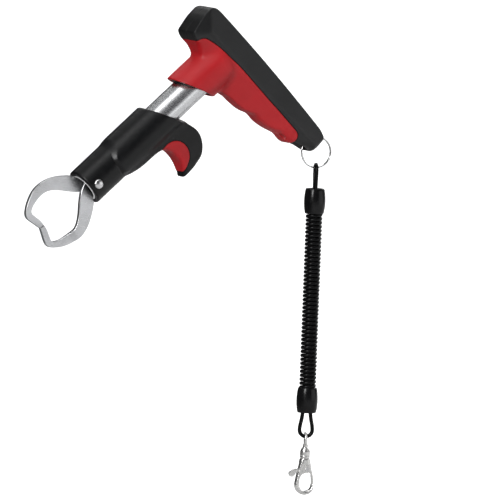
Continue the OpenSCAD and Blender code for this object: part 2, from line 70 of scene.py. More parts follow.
JAW_SWING = math.radians(14)
TUBE_R, TUBE_BORE_R = 9.75, 8.75
SLEEVE_R = 12.8
COLLAR_R = 14.5

HOLE_X, HOLE_Z, HOLE_ANGLE = 14.9, -84.6, math.radians(-14)
RING_R = 9.9
RING_INSET = RING_R - 1.3
RING_YAW = math.radians(-10)
LOOP_YAW = math.radians(-24)
CLASP_YAW = math.radians(-12)
LEAN = math.radians(2.5)

# heights in the lanyard frame, from the ring downwards
CORD_R = 1.25
LOOP_GAP = 0.4
LOOP_H = 15.6
FERRULE_H = 16.2
COIL_H = 112.2
FERRULE_1_TOP = CORD_R + LOOP_GAP - LOOP_H - 0.1
FERRULE_1_BASE = FERRULE_1_TOP - FERRULE_H
FERRULE_2_TOP = FERRULE_1_BASE - COIL_H
FERRULE_2_BASE = FERRULE_2_TOP - FERRULE_H
LOOP_2_Z = FERRULE_2_BASE - 0.1 - LOOP_H
EYE_R, EYE_WIRE_R = 3.7, 0.9
EYE_Z = LOOP_2_Z + CORD_R + LOOP_GAP + EYE_WIRE_R - EYE_R
CLASP_Z = EYE_Z - EYE_R + 0.2 - 9.4

ring_x = HOLE_X + RING_INSET * math.sin(HOLE_ANGLE)
ring_z = HOLE_Z - RING_INSET * math.cos(HOLE_ANGLE)
RING_CENTRE = np.array(
    [ring_x * COS_TILT - ring_z * SIN_TILT, 0.0, ring_x * SIN_TILT + ring_z * COS_TILT]
)
HANG = RING_CENTRE + np.array([0, 0, -RING_R + 0.5])


# ---------------------------------------------------------------- placing
def rot_y(angle):
    cos, sin = math.cos(angle), math.sin(angle)
    return np.array([[cos, 0, sin], [0, 1, 0], [-sin, 0, cos]])


def rot_z(angle):
    cos, sin = math.cos(angle), math.sin(angle)
    return np.array([[cos, -sin, 0], [sin, cos, 0], [0, 0, 1]])


def tool(points):
    return points @ rot_y(-TILT).T


def lanyard(yaw=0.0, z=0.0):
    """Placing in the lanyard frame, turned by yaw and raised by z."""
    lean = rot_y(LEAN)

    def place(points):
        return (points @ rot_z(yaw).T + np.array([0, 0, z])) @ lean.T + HANG

    return place


# ---------------------------------------------------------------- curves and outlines
def spline(points, steps=8, closed=True):
    """Catmull-Rom curve through the points."""
    pts = np.array(points, float)
    count = len(pts)
    curve = []
    for i in range(count if closed else count - 1):
        if closed:
            before, start, end, after = (pts[j % count] for j in range(i - 1, i + 3))
        else:
            start, end = pts[i], pts[i + 1]
            before = pts[i - 1] if i else 2 * start - end
            after = pts[i + 2] if i + 2 < count else 2 * end - start
        for k in range(steps):
            t = k / steps
            curve.append(
                0.5
                * (
                    2 * start
                    + (end - before) * t
                    + (2 * before - 5 * start + 4 * end - after) * t * t
                    + (3 * start - before - 3 * end + after) * t**3
                )
            )
    if not closed:
        curve.append(pts[-1])
    return np.array(curve)


def polygon_distance(points, x, z):
    """Signed distance to a closed polygon, negative inside."""
    square = np.full(x.shape, 1e18)
    inside = np.zeros(x.shape, bool)
    for (x0, z0), (x1, z1) in zip(points, np.roll(points, -1, 0)):
        dx, dz = x1 - x0, z1 - z0
        size = dx * dx + dz * dz
        if size < 1e-12:
            continue
        t = np.clip(((x - x0) * dx + (z - z0) * dz) / size, 0, 1)
        square = np.minimum(square, (x - x0 - t * dx) ** 2 + (z - z0 - t * dz) ** 2)
        if z0 != z1:
            crossed = (z0 > z) != (z1 > z)
            inside ^= crossed & (x < (x1 - x0) * (z - z0) / (z1 - z0) + x0)
    distance = np.sqrt(square)
    return np.where(inside, -distance, distance)


class Outline:
    """Signed distance to a flat outline, held on a fine grid and read bilinearly."""

    def __init__(self, points, step=0.2, pad=8.0):
        low, high = points.min(0) - pad, points.max(0) + pad
        self.low, self.step = low, step
        self.count = np.ceil((high - low) / step).astype(int) + 1
        xs, zs = (low[a] + step * np.arange(self.count[a]) for a in range(2))
        self.grid = polygon_distance(points, *np.meshgrid(xs, zs, indexing="ij"))

    def __call__(self, x, z):
        x, z = np.broadcast_arrays(x, z)
        across = np.clip((x - self.low[0]) / self.step, 0, self.count[0] - 1.001)
        up = np.clip((z - self.low[1]) / self.step, 0, self.count[1] - 1.001)
        i, j = across.astype(int), up.astype(int)
        across, up = across - i, up - j
        grid = self.grid
        return (
            grid[i, j] * (1 - across) * (1 - up)
            + grid[i + 1, j] * across * (1 - up)
            + grid[i, j + 1] * (1 - across) * up
            + grid[i + 1, j + 1] * across * up
        )


# ---------------------------------------------------------------- distance fields
# A field is negative inside its solid. np.minimum joins solids, np.maximum keeps
# what they share, and np.maximum with a negated field cuts.
def dist(*parts):
    return np.sqrt(sum(part * part for part in parts))


def along(first, second, angle):
    """Distance along a direction at angle from the first axis towards the second."""
    return first * np.cos(angle) + second * np.sin(angle)


def soft_min(first, second, width):
    share = np.clip(0.5 + 0.5 * (second - first) / width, 0, 1)
    return second + (first - second) * share - width * share * (1 - share)


def soft_max(first, second, width):
    return -soft_min(-first, -second, width)


def ease(start, end, value):
    t = np.clip((value - start) / (end - start), 0, 1)
    return t * t * (3 - 2 * t)


def rounded(first, second, radius):
    """What two solids share, with an edge of the given radius."""
    first, second = first + radius, second + radius
    corner = dist(np.maximum(first, 0), np.maximum(second, 0))
    return corner + np.minimum(np.maximum(first, second), 0) - radius


# ---------------------------------------------------------------- meshes from a field
CUBE_EDGES = [
    (a, b) for a in range(8) for b in range(a + 1, 8) if bin(a ^ b).count("1") == 1
]
CORNERS = np.array([((c >> 2) & 1, (c >> 1) & 1, c & 1) for c in range(8)])
# steps of the grid away from a seam at y = 0
SEAM_STEPS = np.array([0.0, 0.04, 0.08, 0.13, 0.2, 0.3, 0.45, 0.65, 0.95])


def axis(low, high, step):
    return np.linspace(low, high, max(int(math.ceil((high - low) / step)), 2) + 1)


def seam_axis(low, high, step):
    """Y values of one half of a split piece, close together beside y = 0."""
    near = SEAM_STEPS[-1]
    side = -1 if low < -1 else 1
    far = axis(near, high, step) if side > 0 else axis(low, -near, step)
    return np.unique(
        np.round(np.concatenate([far, side * SEAM_STEPS, -side * SEAM_STEPS[1:4]]), 5)
    )


def gradient(shape, points, step=0.02):
    slope = np.empty_like(points)
    for a in range(3):
        shift = np.zeros(3)
        shift[a] = step
        ahead, behind = points + shift, points - shift
        slope[:, a] = (shape(*ahead.T) - shape(*behind.T)) / (2 * step)
    return slope


def unit(vectors, least=1e-9):
    return vectors / np.maximum(np.linalg.norm(vectors, axis=1), least)[:, None]


def project(shape, points, step, times):
    """Move points down the gradient onto the surface, in short moves."""
    for _ in range(times):
        slope = gradient(shape, points)
        share = shape(*points.T) / np.maximum((slope * slope).sum(1), 0.05)
        move = share[:, None] * slope
        length = np.linalg.norm(move, axis=1)
        move *= np.minimum(1, 0.6 * step / np.maximum(length, 1e-9))[:, None]
        points = points - move
    return points


def crossing_quads(inside, cell_index):
    """One quad around each grid edge that crosses the surface."""
    quads = []
    for a in range(3):
        low = [slice(1, -1)] * 3
        high = list(low)
        low[a], high[a] = slice(None, -1), slice(1, None)
        at = np.array(np.nonzero(inside[tuple(low)] != inside[tuple(high)]))
        second, third = (a + 1) % 3, (a + 2) % 3
        at[second] += 1
        at[third] += 1
        corners = []
        for back_second, back_third in ((1, 1), (0, 1), (0, 0), (1, 0)):
            cell = at.copy()
            cell[second] -= back_second
            cell[third] -= back_third
            corners.append(cell_index[tuple(cell)])
        quad = np.stack(corners, 1)
        quads.append(np.where(inside[tuple(at)][:, None], quad, quad[:, ::-1]))
    return np.concatenate(quads)


def surface_nets(shape, low, high, step, relax=2, seam=False):
    """Vertices, quads and normals of the surface of a field in a box."""
    axes = [axis(low[a], high[a], step) for a in range(3)]
    if seam:
        axes[1] = seam_axis(low[1], high[1], step)
    xs, ys, zs = axes
    field = shape(xs[:, None, None], ys[None, :, None], zs[None, None, :])
    field = np.ascontiguousarray(np.broadcast_to(field, (len(xs), len(ys), len(zs))))
    inside = field < 0
    count = np.zeros(tuple(n - 1 for n in field.shape), np.int8)
    for corner in CORNERS:
        count += inside[tuple(slice(c, n - 1 + c) for c, n in zip(corner, field.shape))]
    active = (count > 0) & (count < 8)
    cells = np.array(np.nonzero(active))
    cell_index = np.full(active.shape, -1, np.int64)
    cell_index[active] = np.arange(cells.shape[1])

    # a vertex starts at the mean of its cell's edge crossings
    total = np.zeros((cells.shape[1], 3))
    crossings = np.zeros(cells.shape[1])
    for edge in CUBE_EDGES:
        ends = [cells + CORNERS[c][:, None] for c in edge]
        first, second = (field[tuple(end)] for end in ends)
        cut = (first < 0) != (second < 0)
        share = (first[cut] / (first[cut] - second[cut]))[:, None]
        start, stop = (
            np.stack([axes[a][end[a, cut]] for a in range(3)], 1) for end in ends
        )
        total[cut] += start + share * (stop - start)
        crossings[cut] += 1
    verts = project(shape, total / crossings[:, None], step, 2)

    # even out the spacing along the surface
    quads = crossing_quads(inside, cell_index)
    edges = np.concatenate([quads[:, [k, (k + 1) % 4]] for k in range(4)])
    weight = np.bincount(edges.ravel(), minlength=len(verts)).astype(float)
    for _ in range(relax):
        mean = np.zeros_like(verts)
        for a in range(3):
            mean[:, a] = np.bincount(
                edges[:, 0], verts[edges[:, 1], a], len(verts)
            ) + np.bincount(edges[:, 1], verts[edges[:, 0], a], len(verts))
        mean /= np.maximum(weight, 1)[:, None]
        normal = unit(gradient(shape, verts))
        move = mean - verts
        move -= (move * normal).sum(1)[:, None] * normal
        if seam:
            move *= np.clip(np.abs(verts[:, 1:2]) - 0.5, 0, 1)
        verts = project(shape, verts + 0.6 * move, step, 1)
    return verts, quads, unit(gradient(shape, verts, 0.05))


MATERIALS = {}


def make(node, mesh, place, body, finish, name=None):
    """Object from (vertices, faces, normals) in a local frame, standing for a CAD node."""
    verts, faces, normals = mesh
    name = name or node + "_v"
    world_verts = place(verts) * MM
    data = bpy.data.meshes.new(name)
    data.vertices.add(len(verts))
    data.vertices.foreach_set("co", world_verts.ravel().astype(np.float32))
    data.loops.add(faces.size)
    data.loops.foreach_set("vertex_index", faces.ravel().astype(np.int32))
    data.polygons.add(len(faces))
    sides = faces.shape[1]
    starts = np.arange(0, faces.size, sides, dtype=np.int32)
    data.polygons.foreach_set("loop_start", starts)
    data.polygons.foreach_set("loop_total", np.full(len(faces), sides, np.int32))
    data.polygons.foreach_set("use_smooth", np.ones(len(faces), bool))
    data.update(calc_edges=True)
    data.validate()
    world_normals = place(normals) - place(np.zeros((1, 3)))
    data.normals_split_custom_set_from_vertices([tuple(v) for v in world_normals])
    ob = bpy.data.objects.new(name, data)
    bpy.context.scene.collection.objects.link(ob)
    data.materials.append(MATERIALS[finish])
    if body:
        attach(ob, body)
    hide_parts(node)
    return ob


def field_piece(node, shape, low, high, step, place, body, finish, seam=False):
    relax = 2
    mesh = surface_nets(shape, low, high, step, relax, seam)
    make(node, mesh, place, body, finish)


# ---------------------------------------------------------------- turned and swept meshes
def area_normals(verts, tris):
    """Vertex normals weighted by the area of the triangles around them."""
    first, second, third = (verts[tris[:, k]] for k in range(3))
    cross = np.cross(second - first, third - first)
    normals = np.zeros_like(verts)
    for k in range(3):
        for a in range(3):
            normals[:, a] += np.bincount(tris[:, k], cross[:, a], len(verts))
    return unit(normals, 1e-12)


def fillet(points, radii, steps=4):
    """Closed (radius, height) profile with rounded corners, one radius or one for each."""
    pts = [np.array(point, float) for point in points]
    count = len(pts)
    curve = []
    for i, radius in enumerate(np.broadcast_to(radii, count)):
        corner = pts[i]
        to_last, to_next = pts[i - 1] - corner, pts[(i + 1) % count] - corner
        last_length, next_length = np.linalg.norm(to_last), np.linalg.norm(to_next)
        reach = min(radius, 0.45 * last_length, 0.45 * next_length)
        if reach <= 1e-6:
            curve.append(corner)
            continue
        start = corner + reach * (to_last / last_length)
        end = corner + reach * (to_next / next_length)
        for k in range(steps + 1):
            t = k / steps
            curve.append((1 - t) ** 2 * start + 2 * t * (1 - t) * corner + t * t * end)
    return np.array(curve)


def lathe(profile, segments, turn=lambda points: points):
    """Closed (radius, height) profile turned about Z, then moved by turn."""
    prof = np.asarray(profile)
    count = len(prof)
    angle = 2 * math.pi * np.arange(segments) / segments
    verts = np.stack(
        [
            prof[None, :, 0] * np.cos(angle)[:, None],
            prof[None, :, 0] * np.sin(angle)[:, None],
            np.broadcast_to(prof[None, :, 1], (segments, count)),
        ],
        -1,
    ).reshape(-1, 3)
    faces = []
    for i in range(segments):
        j = (i + 1) % segments
        for k in range(count):
            n = (k + 1) % count
            if prof[k, 0] >= 1e-6 or prof[n, 0] >= 1e-6:
                ring, other = i * count, j * count
                faces.append((ring + k, other + k, other + n, ring + n))
    # points on the axis become one point for each height
    shared = {}
    merged = np.arange(len(verts))
    for i in np.nonzero(np.hypot(verts[:, 0], verts[:, 1]) < 1e-6)[0]:
        merged[i] = shared.setdefault(round(verts[i, 2], 5), i)
    faces = merged[np.array(faces)]
    used = np.unique(faces)
    packed = np.full(len(verts), -1)
    packed[used] = np.arange(len(used))
    tris, halves = [], []
    for face in packed[faces].tolist():
        face = list(dict.fromkeys(face))
        if len(face) == 4:
            halves += [(face[0], face[1], face[2]), (face[0], face[2], face[3])]
        else:
            tris.append(tuple(face))
    tris = np.array(tris + halves)
    verts = turn(verts[used])
    return verts, tris, area_normals(verts, tris)


def along_x(points):
    return np.c_[points[:, 2], points[:, 1], -points[:, 0]]


def along_y(x, z):
    return lambda points: np.c_[points[:, 0] + x, points[:, 2], -points[:, 1] + z]


def sweep(path, radius, sides):
    """Round wire along an open path, with frames carried without twist."""
    path = np.asarray(path, float)
    count = len(path)
    ahead = np.empty_like(path)
    ahead[1:-1] = path[2:] - path[:-2]
    ahead[0], ahead[-1] = path[1] - path[0], path[-1] - path[-2]
    ahead /= np.linalg.norm(ahead, axis=1)[:, None]
    spoke = np.cross(ahead[0], [0.3, 0.5, 0.81])
    spokes = [spoke / np.linalg.norm(spoke)]
    for direction in ahead[1:]:
        spoke = spokes[-1] - direction * (spokes[-1] @ direction)
        spokes.append(spoke / np.linalg.norm(spoke))
    spokes = np.array(spokes)
    across = np.cross(ahead, spokes)
    angle = (2 * math.pi * np.arange(sides) / sides)[None, :, None]
    ring = np.cos(angle) * spokes[:, None, :] + np.sin(angle) * across[:, None, :]
    verts = (path[:, None, :] + radius * ring).reshape(-1, 3)
    quads = []
    for i in range(count - 1):
        this, other = i * sides, (i + 1) * sides
        for s in range(sides):
            n = (s + 1) % sides
            quads.append((this + n, other + n, other + s, this + s))
    quads = np.array(quads)
    # a low cone closes each end
    start, end, last = len(verts), len(verts) + 1, (count - 1) * sides
    tips = [path[:1] - ahead[:1] * radius * 0.4, path[-1:] + ahead[-1:] * radius * 0.4]
    caps = [(start, s, (s + 1) % sides) for s in range(sides)]
    caps += [(end, last + (s + 1) % sides, last + s) for s in range(sides)]
    verts = np.concatenate([verts, *tips])
    tris = np.concatenate([quads[:, [0, 1, 2]], quads[:, [0, 2, 3]], np.array(caps)])
    return verts, tris, area_normals(verts, tris)


# ---------------------------------------------------------------- shader nodes
class Graph:
    """Short calls to add linked nodes to a node tree. Lengths are in metres."""

    def __init__(self, tree):
        self.tree = tree

    def feed(self, socket, value):
        """Link a socket, or set its value. Colours are given as three numbers."""
        if isinstance(value, bpy.types.NodeSocket):
            self.tree.links.new(value, socket)
        else:
            socket.default_value = (*value, 1) if socket.type == "RGBA" else value

    def add(self, kind, inputs=None, **settings):
        node = self.tree.nodes.new("ShaderNode" + kind)
        for key, value in settings.items():
            setattr(node, key, value)
        for key, value in (inputs or {}).items():
            self.feed(node.inputs[key], value)
        return node

    def coords(self, tilt=0, scale=(1, 1, 1), rot=None):
        source = self.add("TexCoord").outputs["Object"]
        inputs = {"Rotation": rot or (0, tilt, 0), "Scale": scale, 0: source}
        return self.add("Mapping", inputs).outputs[0]

    def noise(self, vector, scale, detail=4, rough=0.5):
        inputs = {"Scale": scale, "Detail": detail, "Roughness": rough, "Vector": vector}
        return self.add("TexNoise", inputs).outputs[0]

    def remap(self, value, span, to):
        inputs = {0: value, 1: span[0], 2: span[1], 3: to[0], 4: to[1]}
        return self.add("MapRange", inputs).outputs[0]

    def ramp(self, value, stops):
        """Colour ramp of (position, colour) stops."""
        node = self.add("ValToRGB", {0: value})
        elements = node.color_ramp.elements
        while len(elements) < len(stops):
            elements.new(0.5)
        for element, (position, colour) in zip(elements, stops):
            element.position = position
            element.color = (*colour, 1)
        return node.outputs[0]

    def math(self, operation, first, second):
        return self.add("Math", {0: first, 1: second}, operation=operation).outputs[0]

    def dot(self, first, second):
        node = self.add("VectorMath", {0: first, 1: second}, operation="DOT_PRODUCT")
        return node.outputs["Value"]

    def mix(self, factor, first, second):
        inputs = {0: factor, 6: first, 7: second}
        return self.add("Mix", inputs, data_type="RGBA").outputs[2]

    def occlusion(self, distance):
        node = self.add("AmbientOcclusion", {"Distance": distance}, samples=8)
        return node.outputs["AO"]

    def edge_wear(self):
        """One on convex edges, where a rounded normal leaves the true one."""
        bevel = self.add("Bevel", {"Radius": 0.0012}, samples=4).outputs[0]
        normal = self.add("NewGeometry").outputs["Normal"]
        return self.remap(self.dot(bevel, normal), span=(0.995, 0.9), to=(0.0, 1.0))

    def finish(self, inputs):
        for key, value in inputs.items():
            self.feed(self.surface.inputs[key], value)

    def bump(self, heights):
        """Chain of bumps, each (height, strength, distance)."""
        last = None
        for height, strength, distance in heights:
            inputs = {"Strength": strength, "Distance": distance, "Height": height}
            if last is not None:
                inputs["Normal"] = last
            last = self.add("Bump", inputs).outputs[0]
        self.finish({"Normal": last})


def material(name):
    mat = bpy.data.materials.new(name)
    mat.use_nodes = True
    mat.node_tree.nodes.clear()
    graph = Graph(mat.node_tree)
    graph.output = graph.add("OutputMaterial")
    graph.surface = graph.add("BsdfPrincipled")
    graph.feed(graph.output.inputs[0], graph.surface.outputs[0])
    MATERIALS[name] = mat
    return graph


# ---------------------------------------------------------------- materials
def plastic(name, dark, light, rough, grain, spec, dust):
    """Grained black plastic with a thin haze and fine scratches."""
    graph = material(name)
    vector = graph.coords()
    big = graph.noise(vector, scale=45, detail=5, rough=0.6)
    mid = graph.noise(vector, scale=320, rough=0.6)
    fine = graph.noise(vector, scale=5200, detail=3, rough=0.65)
    base = graph.ramp(big, [(0.32, dark), (0.68, light)])
    haze = graph.remap(mid, span=(0.45, 0.75), to=(0.0, dust))
    pale = tuple(min(1, 3.2 * c + 0.012) for c in light)
    colour = graph.mix(haze, base, pale)
    matt = graph.remap(mid, span=(0.3, 0.7), to=(rough - 0.05, rough + 0.07))
    lines = graph.coords(rot=(0.2, 0.9, 0.4), scale=(40, 1800, 900))
    scratches = graph.noise(lines, scale=1.0, detail=3)
    marked = graph.remap(scratches, span=(0.62, 0.72), to=(0.0, 0.10))
    graph.finish(
        {
            "Base Color": colour,
            "Roughness": graph.math("ADD", matt, marked),
            "Specular IOR Level": spec,
        }
    )
    graph.bump(
        [(fine, 0.35 * grain, 0.00012), (mid, 0.10, 0.0003), (scratches, 0.02, 0.0002)]
    )


def rubber(name):
    """Red rubber, paler where worn, with painted shade darkening its creases."""
    graph = material(name)
    vector = graph.coords()
    big = graph.noise(vector, scale=38, detail=5, rough=0.55)
    mid = graph.noise(vector, scale=420, rough=0.6)
    fine = graph.noise(vector, scale=6500, detail=3, rough=0.7)
    reds = [(0.3, (0.33, 0.0045, 0.008)), (0.55, (0.39, 0.0065, 0.0105))]
    base = graph.ramp(big, reds + [(0.75, (0.43, 0.010, 0.014))])
    worn = graph.remap(mid, span=(0.5, 0.8), to=(0.0, 0.10))
    colour = graph.mix(worn, base, (0.50, 0.03, 0.036))
    # painted shade: ambient occlusion mixes the red towards near black in creases and tight
    # corners
    open_air = graph.occlusion(distance=0.003)
    painted_crease_shade = graph.remap(open_air, span=(0.35, 0.85), to=(0.85, 0.0))
    graph.finish(
        {
            "Base Color": graph.mix(painted_crease_shade, colour, (0.06, 0.002, 0.003)),
            "Roughness": graph.remap(mid, span=(0.3, 0.7), to=(0.44, 0.58)),
            "Subsurface Weight": 0.06,
            "Subsurface Radius": (0.0012, 0.0003, 0.0002),
            "Subsurface Scale": 1.0,
            "Specular IOR Level": 0.35,
            "Sheen Weight": 0.0,
            "Sheen Roughness": 0.5,
        }
    )
    graph.bump([(fine, 0.22, 0.00014), (mid, 0.08, 0.0004)])


def steel(name, tint, rough, grain, marks, tilt=0, wear=0.0, painted_shade_reach=0.0, metallic=1.0):
    """Metal with streaks scaled by grain, pits, bright edges and painted shade in its corners."""
    graph = material(name)
    vector = graph.coords()
    big = graph.noise(vector, scale=60, detail=5, rough=0.6)
    streak = graph.noise(graph.coords(tilt, grain), scale=1.0, rough=0.6)
    pits = graph.noise(vector, scale=2600, rough=0.7)
    dark, streaked = (tuple(share * c for c in tint) for share in (0.82, 0.7))
    light = tuple(min(1, 1.12 * c) for c in tint)
    colour = graph.ramp(big, [(0.3, dark), (0.7, light)])
    streaks = graph.remap(streak, span=(0.4, 0.7), to=(0.0, marks * 2))
    colour = graph.mix(streaks, colour, streaked)
    pitted = graph.remap(pits, span=(0.66, 0.8), to=(0.0, 0.35))
    colour = graph.mix(pitted, colour, (0.16, 0.15, 0.14))
    # painted shade: ambient occlusion mixes the colour towards near black in corners and where
    # parts meet
    if painted_shade_reach:
        open_air = graph.occlusion(distance=painted_shade_reach)
        corners = graph.remap(open_air, span=(0.25, 0.85), to=(0.9, 0.0))
        colour = graph.mix(corners, colour, (0.02, 0.02, 0.021))
    if wear:
        bright = graph.math("MULTIPLY", graph.edge_wear(), wear)
        colour = graph.mix(bright, colour, (0.9, 0.9, 0.9))
    matt = graph.remap(streak, span=(0.3, 0.7), to=(rough - 0.05, rough + 0.08))
    patches = graph.remap(big, span=(0.35, 0.7), to=(0.0, 0.06))
    graph.finish(
        {
            "Metallic": metallic,
            "Base Color": colour,
            "Roughness": graph.math("ADD", matt, patches),
        }
    )
    graph.bump([(streak, marks, 0.00006), (pits, 0.05, 0.0001)])


def cord(name):
    graph = material(name)
    vector = graph.coords()
    big = graph.noise(vector, scale=120, rough=0.6)
    fine = graph.noise(vector, scale=2600, detail=3, rough=0.6)
    blacks = [(0.3, (0.0016, 0.0016, 0.0018)), (0.7, (0.0034, 0.0034, 0.0038))]
    graph.finish(
        {
            "Base Color": graph.ramp(big, blacks),
            "Roughness": graph.remap(fine, span=(0.3, 0.7), to=(0.2, 0.34)),
            "Specular IOR Level": 0.11,
            "Coat Weight": 0.02,
            "Coat Roughness": 0.12,
        }
    )
    graph.bump([(fine, 0.12, 0.0001), (big, 0.1, 0.0004)])


# name: dark, light, roughness, grain, specular level, dust
for name, (dark, light, rough, grain, spec, dust) in {
    "shell_black": ((0.0034, 0.0035, 0.0038), (0.0062, 0.0064, 0.0070), 0.38, 0.5, 0.40, 0.05),
    "sleeve_black": ((0.0022, 0.0023, 0.0026), (0.0038, 0.0040, 0.0045), 0.33, 0.4, 0.24, 0.05),
    "bush_black": ((0.004, 0.004, 0.0045), (0.008, 0.008, 0.009), 0.45, 0.4, 0.35, 0.03),
    "ferrule_black": ((0.0018, 0.0018, 0.002), (0.0035, 0.0035, 0.004), 0.20, 0.3, 0.22, 0.02),
}.items():
    plastic(name, dark, light, rough, grain, spec, dust)
rubber("grip_red")

# name: tint, roughness, grain scale, strength of the marks, other settings
ON_TOOL = {"tilt": TILT}
for name, (tint, rough, grain, marks, more) in {
    # the jaws carry painted shade in their corners and at their roots inside the sleeve
    "jaw_steel": (
        (0.60, 0.605, 0.62), 0.27, (300, 900, 2200), 0.10, {**ON_TOOL, "wear": 0.3, "painted_shade_reach": 0.016},
    ),
    "tube_steel": ((0.60, 0.605, 0.615), 0.22, (25, 3000, 3000), 0.06, ON_TOOL),
    # the lip's pale tint is a painted highlight on the rim of the tube
    "tube_lip_painted_highlight": ((0.86, 0.865, 0.87), 0.42, (600, 600, 600), 0.05, {"metallic": 0.35}),
    "pin_steel": ((0.66, 0.66, 0.67), 0.22, (900, 900, 900), 0.1, {"wear": 0.4}),
    "clasp_nickel": ((0.76, 0.755, 0.74), 0.21, (500, 500, 1500), 0.08, {"wear": 0.5}),
    "ring_steel": ((0.68, 0.68, 0.68), 0.16, (800, 800, 800), 0.06, {}),
    "rod_steel": ((0.5, 0.5, 0.52), 0.3, (60, 3000, 3000), 0.15, {**ON_TOOL, "wear": 0.4}),
    "spring_steel": ((0.45, 0.45, 0.46), 0.25, (900, 900, 900), 0.1, {}),
    "bush_brass": ((0.62, 0.45, 0.2), 0.26, (60, 3000, 3000), 0.1, {**ON_TOOL, "wear": 0.4}),
    "screw_black": ((0.07, 0.07, 0.075), 0.36, (900, 900, 900), 0.1, {"wear": 0.8}),
}.items():
    steel(name, tint, rough, grain, marks, **more)
cord("cord_black")

# ---------------------------------------------------------------- handle
# (x, z) of the side view of the handle
handle_points = [
    (-17, 4), (-16.2, 11), (-14.8, 15.8), (-13.6, 20), (-13.2, 25), (-12, 29.8),
    (-9, 33.2), (-3.5, 34.6), (3, 35), (8.4, 34.7), (12, 31.4), (13.6, 24),
    (15.4, 8), (17.4, -12), (19.2, -34), (20.6, -56), (21.6, -74), (21.8, -82),
    (20.4, -87), (16, -88.8), (10.5, -88.8), (7.4, -86.8), (5, -82), (1.2, -76.4),
    (-1.2, -71), (-2.1, -64), (-5.6, -56.5), (-8, -49), (-8.8, -42), (-12.2, -35.2),
    (-14.2, -27.5), (-15.2, -22), (-17, -16.6), (-17.6, -10),
]
# (x, z) around the area covered by the red grip
grip_points = [
    (-40, 26), (-24, 25), (-17, 24.8), (-11.4, 24.3), (-7.6, 22.2), (-5.2, 17),
    (-3.4, 10.6), (-1.9, 2), (0, -8), (1.4, -22), (3, -39), (4.3, -50), (5.4, -62),
    (5.9, -68), (5, -71.2), (2.4, -73), (-1, -73.4), (-12, -72), (-34, -62),
    (-60, -30), (-62, 4),
]
# (z, x) of the line where each flank is widest
RIDGE = np.array(
    [(-95, 10.5), (-75.5, 9.1), (-68, 8.3), (-57.7, 7.0), (-48, 5.4), (-38, 3.8),
     (-20, 1.6), (-1.9, -0.2), (8.5, -1.3), (16.4, -2.0), (23.8, -2.4), (40, -3.0)]
)
handle_outline = Outline(spline(handle_points))
grip_outline = Outline(spline(grip_points), pad=30)
SCREWS = [(4, 29), (9.5, -27), (13.8, -64)]  # (x, z)
HALF_WIDTH = 12.9
SOCKET_R, SOCKET_X = 12.0, -14  # room for the bush, open towards the jaws
CORE_X = -21.0  # the shell ends here
COLLAR_FRONT, COLLAR_SLANT = -31.6, math.radians(29)


def handle_form(x, y, z):
    side_y = np.abs(y)
    ridge_x = np.interp(z, RIDGE[:, 0], RIDGE[:, 1])
    edge = handle_outline(x, z) + 0.8 * ease(0.0, 7.0, x - ridge_x)
    edge_radius = (
        5.0
        - 2.6 * ease(22, 28, z)
        + 4.2 * ease(2.0, -6.0, x - ridge_x) * ease(27, 15, z)
        + 1.8 * ease(-76, -86, z)
    )
    out = side_y - HALF_WIDTH
    form = rounded(edge, out, edge_radius)
    # palm side falls away from the ridge, so does the finger side
    form = soft_max(form, along(out, x - ridge_x, math.radians(14)), 0.7)
    finger_slope = math.radians(22) - math.radians(11) * ease(15, 26, z)
    form = soft_max(form, along(out, ridge_x - x, finger_slope), 0.7)
    # facets of the top end
    form = soft_max(form, along(out + 0.15, z - 23.6, math.radians(13)), 0.5)
    form = soft_max(form, (z - 34.85) * 0.99 - (x - 8.7) * 0.12, 0.5)
    form = soft_max(form, (z - 33.4) * 0.96 - (x + 2.4) * 0.28, 0.5)
    form = soft_max(form, (z - 34.5) * 0.6 + (side_y - 11.3) * 0.8, 0.9)
    # end face at the heel
    return soft_max(form, (-z - 87.4) * 0.9 + (side_y - 8.4) * 0.44, 2.2)


def collar_front(x, z, inset=0.0):
    return -along(x - COLLAR_FRONT - inset, z, COLLAR_SLANT)


def collar(x, y, z):
    form = soft_max(dist(y, z) - COLLAR_R, x + 2.5, 5.0)
    # flat pad on each flank
    form = soft_max(form, np.abs(y) - 14.05, 1.2)
    return rounded(form, collar_front(x, z), 1.0)


def ring_tunnel(x, y, z):
    """Hole for the split ring, flared at both ends."""
    x, z = x - HOLE_X, z - HOLE_Z
    length = np.abs(along(x, z, HOLE_ANGLE)) - 3.2
    flare = np.maximum(dist(length, 1.0) - 1.6 + length * 0.3, 0.0)
    return dist(along(z, -x, HOLE_ANGLE), y) - (2.8 + 0.62 * flare)


def shell_bores(x, y, z):
    radius = dist(y, z)
    bores = soft_max(radius - (TUBE_R + 0.4), x + 5, 0.2)
    bores = np.minimum(bores, soft_max(radius - SOCKET_R - 0.05, x - SOCKET_X, 0.2))
    return np.minimum(bores, np.maximum(radius - 4.0, x - 8))


def shell(x, y, z, side):
    form = handle_form(x, y, z)
    grip_skin = np.maximum(grip_outline(x, z), -(form + 2.5))
    form = soft_max(form, -(grip_skin - 0.1), 0.35)
    form = soft_max(form, -side * y + 0.02, 0.24)
    form = soft_max(form, -shell_bores(x, y, z), 0.2)
    form = np.maximum(form, -(x - CORE_X))
    form = soft_max(form, -ring_tunnel(x, y, z), 0.7)
    if side > 0:
        for screw_x, screw_z in SCREWS:
            radius = dist(x - screw_x, z - screw_z)
            form = soft_max(form, -np.maximum(radius - 3.15, 8.6 - y), 0.3)
            form = np.maximum(form, -np.maximum(radius - 1.55, 5.0 - y))
    return form


